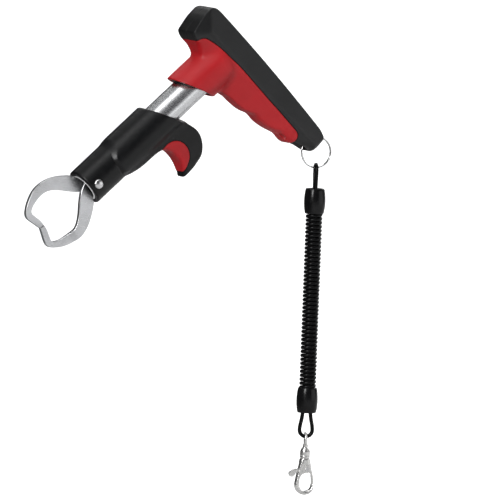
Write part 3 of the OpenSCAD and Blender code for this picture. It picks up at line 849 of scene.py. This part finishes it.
def grip(x, y, z, side):
    form = soft_min(handle_form(x, y, z) - 0.12, collar(x, y, z), 2.6)
    form = soft_max(form, grip_outline(x, z) + 0.1, 0.5)
    core = np.maximum(handle_form(x, y, z) + 2.4, -(x - CORE_X))
    form = np.maximum(form, -core)
    form = soft_max(form, -side * y + 0.003, 0.05)
    radius = dist(y, z)
    form = soft_max(form, -np.maximum(radius - SOCKET_R, x - SOCKET_X), 0.5)
    form = soft_max(form, -np.maximum(radius - (TUBE_R + 0.5), x + 4.6), 0.3)
    # oval recess on the finger side near the lower end, one in each half
    oval = dist((z + 66.8) / 3.3, (x + 2.0) / 3.2, (np.abs(y) - 5.2) / 2.0)
    return soft_max(form, (1.0 - oval) * 2.2, 0.3)


# node, field, finish, lowest and highest (x, z) of the box, its reach in y
for node, shape, finish, (x_low, z_low), (x_high, z_high), reach in (
    ("handle_shell", shell, "shell_black", (-23, -90.5), (24, 36.5), 14),
    ("grip", grip, "grip_red", (-42, -75), (8, 27.5), 15.2),
):
    for half, side in (("_near", -1), ("_far", 1)):
        y_low, y_high = sorted((-0.5 * side, reach * side))
        field_piece(
            node + half, lambda x, y, z: shape(x, y, z, side),
            (x_low, y_low, z_low), (x_high, y_high, z_high),
            0.5, tool, "handle", finish, seam=True,
        )


def collar_bush(x, y, z):
    inner, outer = TUBE_R + 0.08, 11.95
    wall = np.abs(dist(y, z) - (inner + outer) / 2) - (outer - inner) / 2
    return np.maximum(rounded(wall, collar_front(x, z, 0.7), 0.4), x + 14.05)


field_piece(
    "collar_bush", collar_bush, (-40, -12.6, -12.6), (-13.5, 12.6, 12.6),
    0.45, tool, "handle", "bush_black",
)


def screw(centre_x, centre_z):
    """Screw along Y with a domed, cross-slotted head at +Y."""

    def shape(x, y, z):
        x, z = x - centre_x, z - centre_z
        radius = dist(x, z)
        head = rounded(radius - 2.98, np.maximum(8.64 - y, y - 10.6), 0.35)
        head = soft_max(head, dist(radius, y - 4.4) - 6.3, 0.2)
        cross = np.minimum(
            np.maximum(np.abs(x) - 0.42, np.abs(z) - 2.0),
            np.maximum(np.abs(z) - 0.42, np.abs(x) - 2.0),
        )
        head = soft_max(head, -np.maximum(cross, 9.7 - y), 0.15)
        thread = 0.12 * (0.5 + 0.5 * np.sin(2 * math.pi * y / 1.1))
        shank = np.maximum(radius - 1.48 + thread, np.abs(y - 1.5) - 8.0)
        return np.minimum(head, shank)

    return shape


def handle_screws():
    verts, quads, normals = [], [], []
    offset = 0
    for x, z in SCREWS:
        low, high = (x - 3.6, -7, z - 3.6), (x + 3.6, 11.2, z + 3.6)
        part = surface_nets(screw(x, z), low, high, 0.24, 1)
        verts.append(part[0])
        quads.append(part[1] + offset)
        normals.append(part[2])
        offset += len(part[0])
    return tuple(np.concatenate(parts) for parts in (verts, quads, normals))


make("handle_screws", handle_screws(), tool, "handle", "screw_black")

# ---------------------------------------------------------------- sleeve with finger hook
# (x, z) of the side view of the hook
hook_points = [
    (-101, -9), (-97, -12.9), (-90, -14.4), (-79, -14.8), (-72.6, -16.6), (-69.6, -20.6),
    (-68.4, -26), (-68.6, -31.6), (-70.6, -37), (-72.4, -40.4), (-70.6, -42.2), (-64, -41.4),
    (-57, -39), (-51, -34.4), (-47.4, -28.6), (-46.6, -22.6), (-48.6, -16), (-52.6, -8.4),
    (-57, -1), (-62, 4), (-84, 4),
]
hook_outline = Outline(spline(hook_points), pad=25)
HOOK_HALF_WIDTH = 8.4
PAD_X, PAD_Z, PAD_R = -69.8, -24.8, 10.3
SLEEVE_REAR, SLEEVE_SLANT = -58.6, math.radians(31)


def hook(x, y, z):
    out = np.abs(y) - HOOK_HALF_WIDTH
    narrowing = 3.0 * ease(-30, -42, z) * ease(-52, -60, x)
    form = rounded(hook_outline(x, z), out + narrowing, 3.4)
    form = soft_max(form, -z - 40.9, 1.6)
    # the paddle thins a little towards its rear edge
    return soft_max(form, out + 0.10 * np.maximum(x + 66, 0), 1.0)


def barrel(x, y, z):
    """Round body, with a step in its radius that moves back above and below."""
    spread = np.maximum(ease(3, 12, z), ease(-6, -12, z))
    past = x + 107.2 - 2.5 * spread
    step = (1.15 - 0.25 * spread) * ease(0, 1, past / (3.0 + 4.4 * spread))
    form = dist(y, z) - SLEEVE_R - step
    form = form + 0.26 * (1 - spread) ** 2 * np.exp(-(((past - 0.1) / 0.6) ** 2))
    form = rounded(form, MOUTH - x, 1.3)
    return rounded(form, along(x - SLEEVE_REAR, z, SLEEVE_SLANT), 0.9)


def pad_lobe(x, z):
    upper = dist(x - PAD_X, z - PAD_Z) - PAD_R
    lower = dist(x + 72.5, z + 31.2) - 6.4
    return soft_min(upper, lower, 2.5)


def pad_core(x, y, z):
    return np.maximum(hook(x - 2.4, y, z), np.abs(y) - 6.7)


def trigger_sleeve(x, y, z):
    form = soft_min(barrel(x, y, z), np.maximum(hook(x, y, z), z - 1.0), 3.6)
    radius = dist(y, z)
    zone = np.maximum(pad_lobe(x, z), -pad_core(x, y, z))
    zone = np.maximum(zone, -(radius - SLEEVE_R - 0.9))
    form = soft_max(form, -(zone - 0.08), 0.4)
    form = soft_max(form, -(radius - TUBE_R - 0.02), 0.2)
    rivet_radius = dist(x - CAM_X, z)
    for side in (-1, 1):
        seat = np.maximum(rivet_radius - 3.35, SLEEVE_R - 0.6 - side * y)
        form = soft_max(form, -seat, 0.25)
    return form


def trigger_pad(x, y, z):
    form = soft_max(hook(x, y, z) - 0.18, pad_lobe(x, z), 0.7)
    form = np.maximum(form, -pad_core(x, y, z))
    return soft_max(form, -(dist(y, z) - SLEEVE_R - 0.9), 0.5)


field_piece(
    "trigger_sleeve", trigger_sleeve, (-131, -14.8, -43.2), (-45.6, 14.8, 14.8),
    0.5, tool, "sleeve", "sleeve_black",
)
field_piece(
    "trigger_pad", trigger_pad, (-81, -9.4, -39.5), (-58.5, 9.4, -12),
    0.4, tool, "sleeve", "grip_red",
)


# ---------------------------------------------------------------- tube, rivet, spring
def tube(inner, outer, front, rear, radii):
    corners = [(inner, front), (outer, front), (outer, rear), (inner, rear)]
    return lathe(fillet(corners, radii), 128, along_x)


TUBE_FRONT = MOUTH + 0.5
make(
    "guide_tube", tube(TUBE_BORE_R, TUBE_R, TUBE_FRONT, -17.2, 0.25),
    tool, "sleeve", "tube_steel",
)
# turned, satin lip at the mouth of the tube, painted paler than the tube as a painted highlight on
# its rim
lip = tube(
    TUBE_BORE_R - 0.12, TUBE_R - 0.02, MOUTH - 0.05, TUBE_FRONT - 0.02, [0.24, 0.24, 0, 0]
)
make("guide_tube", lip, tool, "sleeve", "tube_lip_painted_highlight", "guide_tube_lip_v")


def cross_rivet():
    base = SLEEVE_R - 0.58
    # (radius, height above the base) of a domed head, from its middle outwards
    head = [
        (0.0, 1.55), (0.8, 1.52), (1.6, 1.4), (2.3, 1.16), (2.8, 0.86), (3.1, 0.5),
        (3.2, 0.15), (3.15, 0.0), (2.0, 0.0),
    ]
    lower = [(radius, -base - rise) for radius, rise in head]
    upper = [(radius, base + rise) for radius, rise in head[::-1]]
    return lathe(lower + [(2.0, 0.0)] + upper, 64, along_y(CAM_X, 0))


make("cross_rivet", cross_rivet(), tool, "sleeve", "pin_steel")

SPRING_REAR = -7.8
SPRING_LENGTH = 50.1
SPRING_R = (TUBE_BORE_R + 4) / 2
SPRING_WIRE_R = 0.68
SPRING_TURNS, SPRING_STEPS = 13, 28


def return_spring():
    count = SPRING_TURNS * SPRING_STEPS
    share = np.arange(count + 1) / count
    angle = 2 * math.pi * SPRING_TURNS * share
    # the end turns lie close together
    advance = 0.72 + (SPRING_LENGTH - 0.72) * np.clip(share * 1.06 - 0.03, 0, 1)
    x = SPRING_REAR - SPRING_LENGTH + advance
    path = np.c_[x, SPRING_R * np.sin(angle), SPRING_R * np.cos(angle)]
    return sweep(path, SPRING_WIRE_R, 10)


spring = make("return_spring", return_spring(), tool, "handle", "spring_steel")
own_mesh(spring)

# ---------------------------------------------------------------- jaws
# (x, z) of the side view of the upper jaw, in runs that meet end to end
jaw_neck = [
    (PIVOT + 5.4, 0), (PIVOT + 3.8, -3.9), (PIVOT, -5.5), (PIVOT - 6, -5.5),
    (PIVOT - 14, -5.4), (MOUTH + 4.2, -4.8), (MOUTH + 0.6, -2.6), (MOUTH - 2.2, -1.4),
]
jaw_inner = [
    (-134.4, 0.2), (-136, 1.6), (-139.6, 5.2), (-144.4, 10.4), (-148.8, 14),
    (-153.4, 15.9), (-158.4, 16), (-163, 15.1), (-166.6, 13.5), (-168.3, 11.4),
    (-167.8, 8.6), (-166.6, 4.4),
]
jaw_tip = [(-166.1, 0.15), (-169.7, 0.15)]
jaw_outer = [
    (-170.8, 3.6), (-172.3, 8), (-172.9, 11), (-172, 14), (-168.6, 17.2), (-163.4, 20.4),
    (-157.4, 22.4), (-151, 22.4), (-144.6, 20.7), (-138.6, 17.4), (-133.4, 13.4),
    (-130.9, 10.9), (-130.35, 9),
]
# the back edge meets the tube's mouth at every stage of the travel
jaw_back = []
for i in range(9):
    swing = JAW_SWING * i / 8
    reach = PIVOT_DEPTH - TRAVEL * i / 8
    cos, sin = math.cos(swing), math.sin(swing)
    jaw_back.append((PIVOT - reach * cos - 8 * sin, 8 * cos - reach * sin))
jaw_back += [(PIVOT - 6, 5), (PIVOT, 5.5), (PIVOT + 3.8, 3.9)]
jaw_runs = [
    np.array(jaw_neck), spline(jaw_inner, 8, False), np.array(jaw_tip),
    spline(jaw_outer, 8, False), np.array(jaw_back),
]
jaw_outline = Outline(np.concatenate(jaw_runs), 0.12, 3.0)

# path of the cross rivet in the jaw as the sleeve slides
slide = np.linspace(-0.25, TRAVEL + 0.25, 24)
cam_turn = JAW_SWING / TRAVEL * slide
cam_arm = PIVOT - CAM_X - slide
cam_path = np.c_[PIVOT - cam_arm * np.cos(cam_turn), -cam_arm * np.sin(cam_turn)]


def cam_distance(x, z):
    nearest = np.inf
    for (x0, z0), (x1, z1) in zip(cam_path[:-1], cam_path[1:]):
        dx, dz = x1 - x0, z1 - z0
        t = np.clip(((x - x0) * dx + (z - z0) * dz) / (dx * dx + dz * dz), 0, 1)
        nearest = np.minimum(nearest, dist(x - x0 - t * dx, z - z0 - t * dz))
    return nearest


def jaw(up):
    """Plate beside y = 0. The lower one crosses to the upper one's plane at its tip."""

    def shape(x, y, z):
        outline_z = z if up else -z
        if up:
            centre_y, slope = 1.55, 0.0
        else:
            t = np.clip((-150.0 - x) / 8.6, 0, 1)
            centre_y = -1.55 + 3.1 * t * t * (3 - 2 * t)
            slope = 3.1 * 6 * t * (1 - t) / 8.6
        thickness = np.abs(y - centre_y) / np.sqrt(1 + slope * slope) - 1.5
        form = rounded(jaw_outline(x, outline_z), thickness, 0.42)
        form = np.maximum(form, -(cam_distance(x, outline_z) - 2.08))
        return np.maximum(form, -(dist(x - PIVOT, z) - 2.05))

    return shape


field_piece(
    "jaw_upper", jaw(True), (-173.8, -0.6, -6.3), (-100.6, 3.7, 23.3),
    0.36, tool, "upper_jaw", "jaw_steel",
)
field_piece(
    "jaw_lower", jaw(False), (-173.8, -3.7, -23.3), (-100.6, 3.7, 6.3),
    0.36, tool, "lower_jaw", "jaw_steel",
)


# ---------------------------------------------------------------- lanyard
def split_ring():
    """Nearly two turns of wire, side by side."""
    angle = np.linspace(math.radians(-80), math.radians(-80 + 712), 200)
    turns = (angle - angle[0]) / (2 * math.pi)
    y = -0.5 + 1.0 * ease(0.90, 1.08, turns)
    # the second turn stands a little inside the first on the side away from the cord
    radius = RING_R - 0.62 * np.exp(-(((np.degrees(angle) - 560) / 31) ** 2))
    return sweep(np.c_[radius * np.cos(angle), y, radius * np.sin(angle)], 0.5, 12)


make(
    "split_ring", split_ring(),
    lambda points: points @ rot_z(RING_YAW).T + RING_CENTRE, "ring", "ring_steel",
)


def loop_path():
    """Two legs that part upwards to a half circle."""
    radius, foot, centre_z = 4.1, 2.55, -4.4
    share = np.arange(25) / 24
    leg_x = foot + (radius - foot) * ease(0, 1, share)
    leg = np.c_[leg_x, -LOOP_H + (LOOP_H + centre_z) * share]
    leg = np.concatenate([[(foot, -LOOP_H - 0.9)], leg])
    angle = math.pi * (1 - np.arange(1, 40) / 40)
    arc = np.c_[radius * np.cos(angle), centre_z + radius * np.sin(angle)]
    path = np.concatenate([leg * (-1, 1), arc, leg[::-1]])
    return np.c_[path[:, 0], np.zeros(len(path)), path[:, 1]]


upper_loop = sweep(loop_path(), CORD_R, 16)
upper_place = lanyard(math.radians(68), CORD_R + LOOP_GAP)
make("loop_upper", upper_loop, upper_place, "lanyard_top", "cord_black")
lower_loop = sweep(loop_path() * np.array([1, 1, -1]), CORD_R, 16)
make("loop_lower", lower_loop, lanyard(LOOP_YAW, LOOP_2_Z), "lanyard_end", "cord_black")


def ferrule(base):
    """Barrel shape, widest at mid height."""
    share = np.arange(25) / 24
    radius = 5.86 + 1.02 * np.sin(math.pi * share) ** 0.65
    side = np.c_[radius, FERRULE_H * share]
    profile = np.concatenate([[(0.0, 0.0)], side, [(0.0, FERRULE_H)]])
    profile = fillet(profile, [0, 0.62] + [0] * 23 + [0.62, 0], 6)
    profile[:, 1] += base
    return lathe(profile, 72)


for node, base, body in (
    ("ferrule_upper", FERRULE_1_BASE, "lanyard_top"),
    ("ferrule_lower", FERRULE_2_BASE, "lanyard_end"),
):
    make(node, ferrule(base), lanyard(), body, "ferrule_black")

COIL_R = 5.5 - CORD_R
COIL_TURNS, COIL_STEPS = 44.5, 32


def coil_end(angle, height, way):
    """Run of the cord inwards into a ferrule, up or down by the sign of way."""
    share = np.arange(1, 15) / 14
    turn = angle + way * 0.9 * share
    radius = COIL_R * (1 - 0.45 * share * share)
    return np.c_[radius * np.cos(turn), radius * np.sin(turn), height + way * 3.0 * share**2]


def coil_cord():
    count = int(COIL_TURNS * COIL_STEPS)
    share = np.arange(count + 1) / count
    angle = 2 * math.pi * COIL_TURNS * share
    # the cord runs on into each ferrule
    z = (FERRULE_2_TOP - 1.0) + (COIL_H + 2.0) * share
    turns = np.c_[COIL_R * np.cos(angle), COIL_R * np.sin(angle), z]
    lead = coil_end(angle[0], z[0], -1)[::-1]
    tail = coil_end(angle[-1], z[-1], 1)
    return sweep(np.concatenate([lead, turns, tail]), CORD_R * 0.985, 12)


coil = make("coil_cord", coil_cord(), lanyard(), None, "cord_black")
coil_top, coil_base = (
    tuple(lanyard()(np.array([[0, 0, z]]))[0] * MM) for z in (FERRULE_1_BASE, FERRULE_2_TOP)
)
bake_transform(coil)

# ---------------------------------------------------------------- swivel and clasp
# (radius, z) of the turned stem
stem = [
    (0, -4.4), (1.9, -4.4), (1.9, -3.2), (1.1, -3.2), (1.1, 0.1), (2.7, 0.1), (3.2, 0.8),
    (3.2, 4.6), (2.6, 6.2), (1.7, 7.4), (1.7, 9.1), (0, 9.1),
]
stem_outline = Outline(np.array([(-r, z) for r, z in stem[::-1]] + stem), 0.06, 3.0)


def swivel_eye(x, y, z):
    eye_z = z - (EYE_Z - CLASP_Z)
    turn = LOOP_YAW + math.pi / 2
    across, out = along(x, y, turn), along(y, -x, turn)
    eye = dist(dist(across, eye_z) - EYE_R, out) - EYE_WIRE_R
    groove = 0.18 * np.exp(-(((z - 2.0) / 0.22) ** 2)) * (z > 0.5)
    return soft_min(eye, stem_outline(dist(x, y), z) + 0.02 + groove, 0.7)


field_piece(
    "swivel_eye", swivel_eye, (-5, -5, -4.9), (5, 5, EYE_Z - CLASP_Z + 5.0),
    0.2, lanyard(0.0, CLASP_Z), "swivel", "clasp_nickel",
)

# (x, z) of the clasp's body and hook
clasp_points = [
    (-2.9, 0), (-3.25, -1.6), (-4.1, -6), (-5.05, -10.5), (-5.95, -15), (-6.1, -18),
    (-4.4, -21.4), (-1, -23.2), (2.6, -22.9), (5.4, -20.6), (6.2, -17.6), (5.9, -16.2),
    (4.86, -16.2), (4.7, -17.7), (4.2, -18.9), (3.2, -20), (1.9, -20.65), (0.6, -20.8),
    (-0.8, -20.55), (-2, -19.9), (-2.9, -18.9), (-3.45, -17.6), (-3.6, -16.6), (-3.3, -13),
    (-2, -10.4), (0.4, -9.3), (4.3, -8.4), (3.95, -4.6), (3.25, -1.6), (2.9, 0),
]
clasp_outline = Outline(spline(clasp_points, 5, False), 0.06, 3.0)
# (x, z) of the gate and its thumb lever
gate_points = [
    (-1.6, -6.3), (0.2, -5.5), (1.4, -5.3), (3.4, -5.6), (4.45, -6.8), (5.1, -8.9),
    (5.85, -12), (6.1, -15.5), (4.95, -15.9), (4.6, -12), (3.8, -9.6), (2, -8.6),
    (-2, -8.8), (-5.6, -9.2), (-6.9, -10.8), (-8.2, -11.7), (-9.6, -11.4),
    (-10.4, -10.1), (-10.2, -8.8), (-9.2, -8), (-6.4, -6.6),
]
gate_outline = Outline(spline(gate_points, 5), 0.06, 3.0)
GATE_X, GATE_Z = 1.3, -6.8


def clasp_body(x, y, z):
    side_y = np.abs(y)
    radius = dist(x, y)
    form = rounded(clasp_outline(x, z), side_y - 2.35, 1.15)
    knuckle = rounded(radius - (3.25 - 0.14 * z), np.maximum(z, -4 - z), 0.7)
    knuckle = soft_max(knuckle, side_y - 2.9, 0.6)
    form = soft_min(form, knuckle, 0.5)
    form = np.maximum(form, -(dist(x - 0.6, z + 16.6) - 4.2))
    # bore and wider chamber for the swivel's stem
    form = np.maximum(form, -np.maximum(radius - 1.2, -3.1 - z))
    form = np.maximum(form, -np.maximum(radius - 2.05, np.abs(z + 3.9) - 0.8))
    # slot for the gate
    middle = np.abs(z + 7.05) - 2.55
    left = np.maximum(np.abs(z + 6.1) - 3.5, x + 2.2)
    right = np.maximum(3.2 - x, np.abs(z + 7.9) - 2.5)
    slot = np.maximum(side_y - 1.35, np.minimum(np.minimum(middle, left), right))
    form = soft_max(form, -slot, 0.2)
    return np.maximum(form, -(dist(x - GATE_X, z - GATE_Z) - 1.02))


def gate_lever(x, y, z):
    """Thin plate set towards -Y, with a wider lever on the left and gate on the right."""
    edge = gate_outline(x, z)
    plate = rounded(edge, np.abs(y + 0.55) - 0.7, 0.25)
    zone = np.minimum(np.maximum(3 - x, z + 10.6), x + 5.4)
    wide = rounded(edge, np.abs(y) - 1.25, 0.45)
    form = soft_min(plate, soft_max(wide, zone, 0.3), 0.15)
    return np.maximum(form, -(dist(x - GATE_X, z - GATE_Z) - 1.05))


clasp_place = lanyard(CLASP_YAW, CLASP_Z)
field_piece(
    "clasp_body", clasp_body, (-6.8, -3.3, -24), (6.9, 3.3, 0.6),
    0.2, clasp_place, "clasp", "clasp_nickel",
)
field_piece(
    "gate_lever", gate_lever, (-11.2, -1.8, -16.6), (6.7, 1.8, -4.7),
    0.18, clasp_place, "gate", "clasp_nickel",
)
# (radius, height) of the pin
pin_points = [
    (0, -2.85), (1.4, -2.85), (1.4, -2.45), (1.0, -2.45),
    (1.0, 2.45), (1.4, 2.45), (1.4, 2.85), (0, 2.85),
]
pin_profile = fillet(pin_points, [0, 0.2, 0.1, 0, 0, 0.1, 0.2, 0], 3)
gate_pin = lathe(pin_profile, 40, along_y(GATE_X, GATE_Z))
make("gate_pin", gate_pin, clasp_place, "clasp", "pin_steel")

# ---------------------------------------------------------------- pieces kept from the frame
for name, finish in (
    ("core_rod", "rod_steel"),
    ("rod_anchor_pin", "pin_steel"),
    ("spring_seat", "rod_steel"),
    ("jaw_pivot_pin", "pin_steel"),
    ("tube_bush", "bush_brass"),
    ("gate_spring", "spring_steel"),
):
    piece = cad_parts[name]
    piece.data.materials.clear()
    piece.data.materials.append(MATERIALS[finish])
    if name != "gate_spring":
        bevel = piece.modifiers.new("edge", "BEVEL")
        bevel.width = 0.0002
        bevel.segments = 2
        bevel.limit_method = "ANGLE"
        bevel.angle_limit = math.radians(40)


# ---------------------------------------------------------------- stage, in metres
def floor_material(name):
    """Pale to the camera, for other rays a grey painted lighter towards the card light as painted
    light, clear from behind.
    """
    graph = material(name)
    cloud = graph.noise(graph.coords(), scale=3.0)
    geometry = graph.add("NewGeometry")
    # painted light: for rays other than the camera's, the floor's grey grows lighter towards the
    # right of the view, where the card light stands
    across = graph.dot(geometry.outputs["Position"], (0.72, -0.69, 0))
    shade = graph.remap(across, span=(-0.35, 0.25), to=(0.13, 0.86))
    seen = graph.add("LightPath").outputs["Is Camera Ray"]
    pale = graph.ramp(cloud, [(0.3, (0.85, 0.85, 0.85)), (0.7, (0.87, 0.87, 0.87))])
    grey = graph.add("CombineColor", {0: shade, 1: shade, 2: shade}).outputs[0]
    graph.finish(
        {
            "Base Color": graph.mix(seen, grey, pale),
            "Roughness": 0.8,
            "Specular IOR Level": 0.05,
            "Emission Color": (1, 1, 1),
            "Emission Strength": graph.remap(seen, span=(0, 1), to=(0.0, 0.62)),
        }
    )
    # the wall lets a camera behind it see the object
    clear = graph.add("BsdfTransparent").outputs[0]
    behind = graph.math("MULTIPLY", seen, geometry.outputs["Backfacing"])
    mixed = graph.add("MixShader", {0: behind, 1: graph.surface.outputs[0], 2: clear})
    graph.feed(graph.output.inputs[0], mixed.outputs[0])
    return MATERIALS[name]


VIEW_TURN, VIEW_RISE = math.radians(-29), math.radians(6)


def build_floor():
    """Floor that curves up into a wall, square to the view."""
    floor_z, bend_y, bend_r, steps = -0.2915, 1.1, 0.9, 24
    profile = [(-3.0, floor_z), (bend_y, floor_z)]
    for i in range(1, steps + 1):
        angle = math.pi / 2 * i / steps
        rise = bend_r * (1 - math.cos(angle))
        profile.append((bend_y + bend_r * math.sin(angle), floor_z + rise))
    profile.append((bend_y + bend_r, 4.0))
    verts = [(x, y, z) for y, z in profile for x in (-4.5, 4.5)]
    faces = [(i, i + 1, i + 3, i + 2) for i in range(0, len(verts) - 2, 2)]
    data = bpy.data.meshes.new("sweep")
    data.from_pydata(verts, [], faces)
    for polygon in data.polygons:
        polygon.use_smooth = True
    floor = bpy.data.objects.new("floor", data)
    bpy.context.scene.collection.objects.link(floor)
    data.materials.append(floor_material("floor_pale"))
    floor.rotation_euler = (0, 0, VIEW_TURN)


build_floor()

# axes of the view: towards the camera, to its right, and up
TO_CAMERA = Vector(
    (
        math.sin(VIEW_TURN) * math.cos(VIEW_RISE),
        -math.cos(VIEW_TURN) * math.cos(VIEW_RISE),
        math.sin(VIEW_RISE),
    )
)
RIGHT = Vector((math.cos(VIEW_TURN), math.sin(VIEW_TURN), 0))
UP = TO_CAMERA.cross(RIGHT)
TARGET = 0.0165 * RIGHT - 0.1244 * UP


def area(name, right, up, near, width, height, power):
    """Light aimed at the target, placed from it along the axes of the view."""
    light = bpy.data.lights.new(name, "AREA")
    light.energy = power
    light.shape = "RECTANGLE"
    light.size = width
    light.size_y = height
    ob = bpy.data.objects.new(name, light)
    bpy.context.scene.collection.objects.link(ob)
    ob.location = TARGET + right * RIGHT + up * UP + near * TO_CAMERA
    ob.rotation_euler = (TARGET - ob.location).to_track_quat("-Z", "Y").to_euler()


area("key", right=-0.75, up=0.62, near=1.55, width=0.5, height=1.0, power=27)
area("top", right=-0.1, up=1.25, near=0.76, width=1.1, height=0.36, power=4.1)
area("soft", right=-0.3, up=1.5, near=-0.9, width=0.9, height=0.9, power=9)
area("card", right=1.1, up=0.05, near=0.3, width=1.0, height=0.6, power=2.1)
area("rim", right=0.75, up=0.7, near=-1.0, width=0.6, height=0.6, power=5)


def build_world():
    """Grey sky, lighter overhead, that the camera sees as near white."""
    world = bpy.data.worlds.new("world")
    bpy.context.scene.world = world
    world.use_nodes = True
    graph = Graph(world.node_tree)
    sky = graph.tree.nodes["Background"]
    source = graph.add("TexCoord").outputs["Generated"]
    height = graph.add("SeparateXYZ", {0: source}).outputs[2]
    stops = [
        (0.0, (0.10, 0.10, 0.10)),
        (0.5, (0.13, 0.13, 0.135)),
        (0.72, (0.13, 0.13, 0.135)),
        (0.9, (0.34, 0.345, 0.35)),
        (1.0, (0.5, 0.505, 0.51)),
    ]
    level = graph.remap(height, span=(-1, 1), to=(0, 1))
    graph.feed(sky.inputs[0], graph.ramp(level, stops))
    graph.feed(sky.inputs[1], 1.0)
    white = graph.add("Background", {0: (0.97, 0.97, 0.97)}).outputs[0]
    seen = graph.add("LightPath").outputs["Is Camera Ray"]
    mixed = graph.add("MixShader", {0: seen, 1: sky.outputs[0], 2: white})
    graph.feed(graph.tree.nodes["World Output"].inputs[0], mixed.outputs[0])


def build_camera():
    distance, view_width = 12.0, 0.320
    data = bpy.data.cameras.new("camera")
    camera = bpy.data.objects.new("camera", data)
    bpy.context.scene.collection.objects.link(camera)
    camera.location = TARGET + distance * TO_CAMERA
    camera.rotation_euler = (-TO_CAMERA).to_track_quat("-Z", "Y").to_euler()
    data.sensor_width = 36
    data.lens = data.sensor_width * distance / view_width
    data.clip_end = 60
    bpy.context.scene.camera = camera


build_world()
build_camera()
bpy.context.scene.view_settings.view_transform = "Standard"
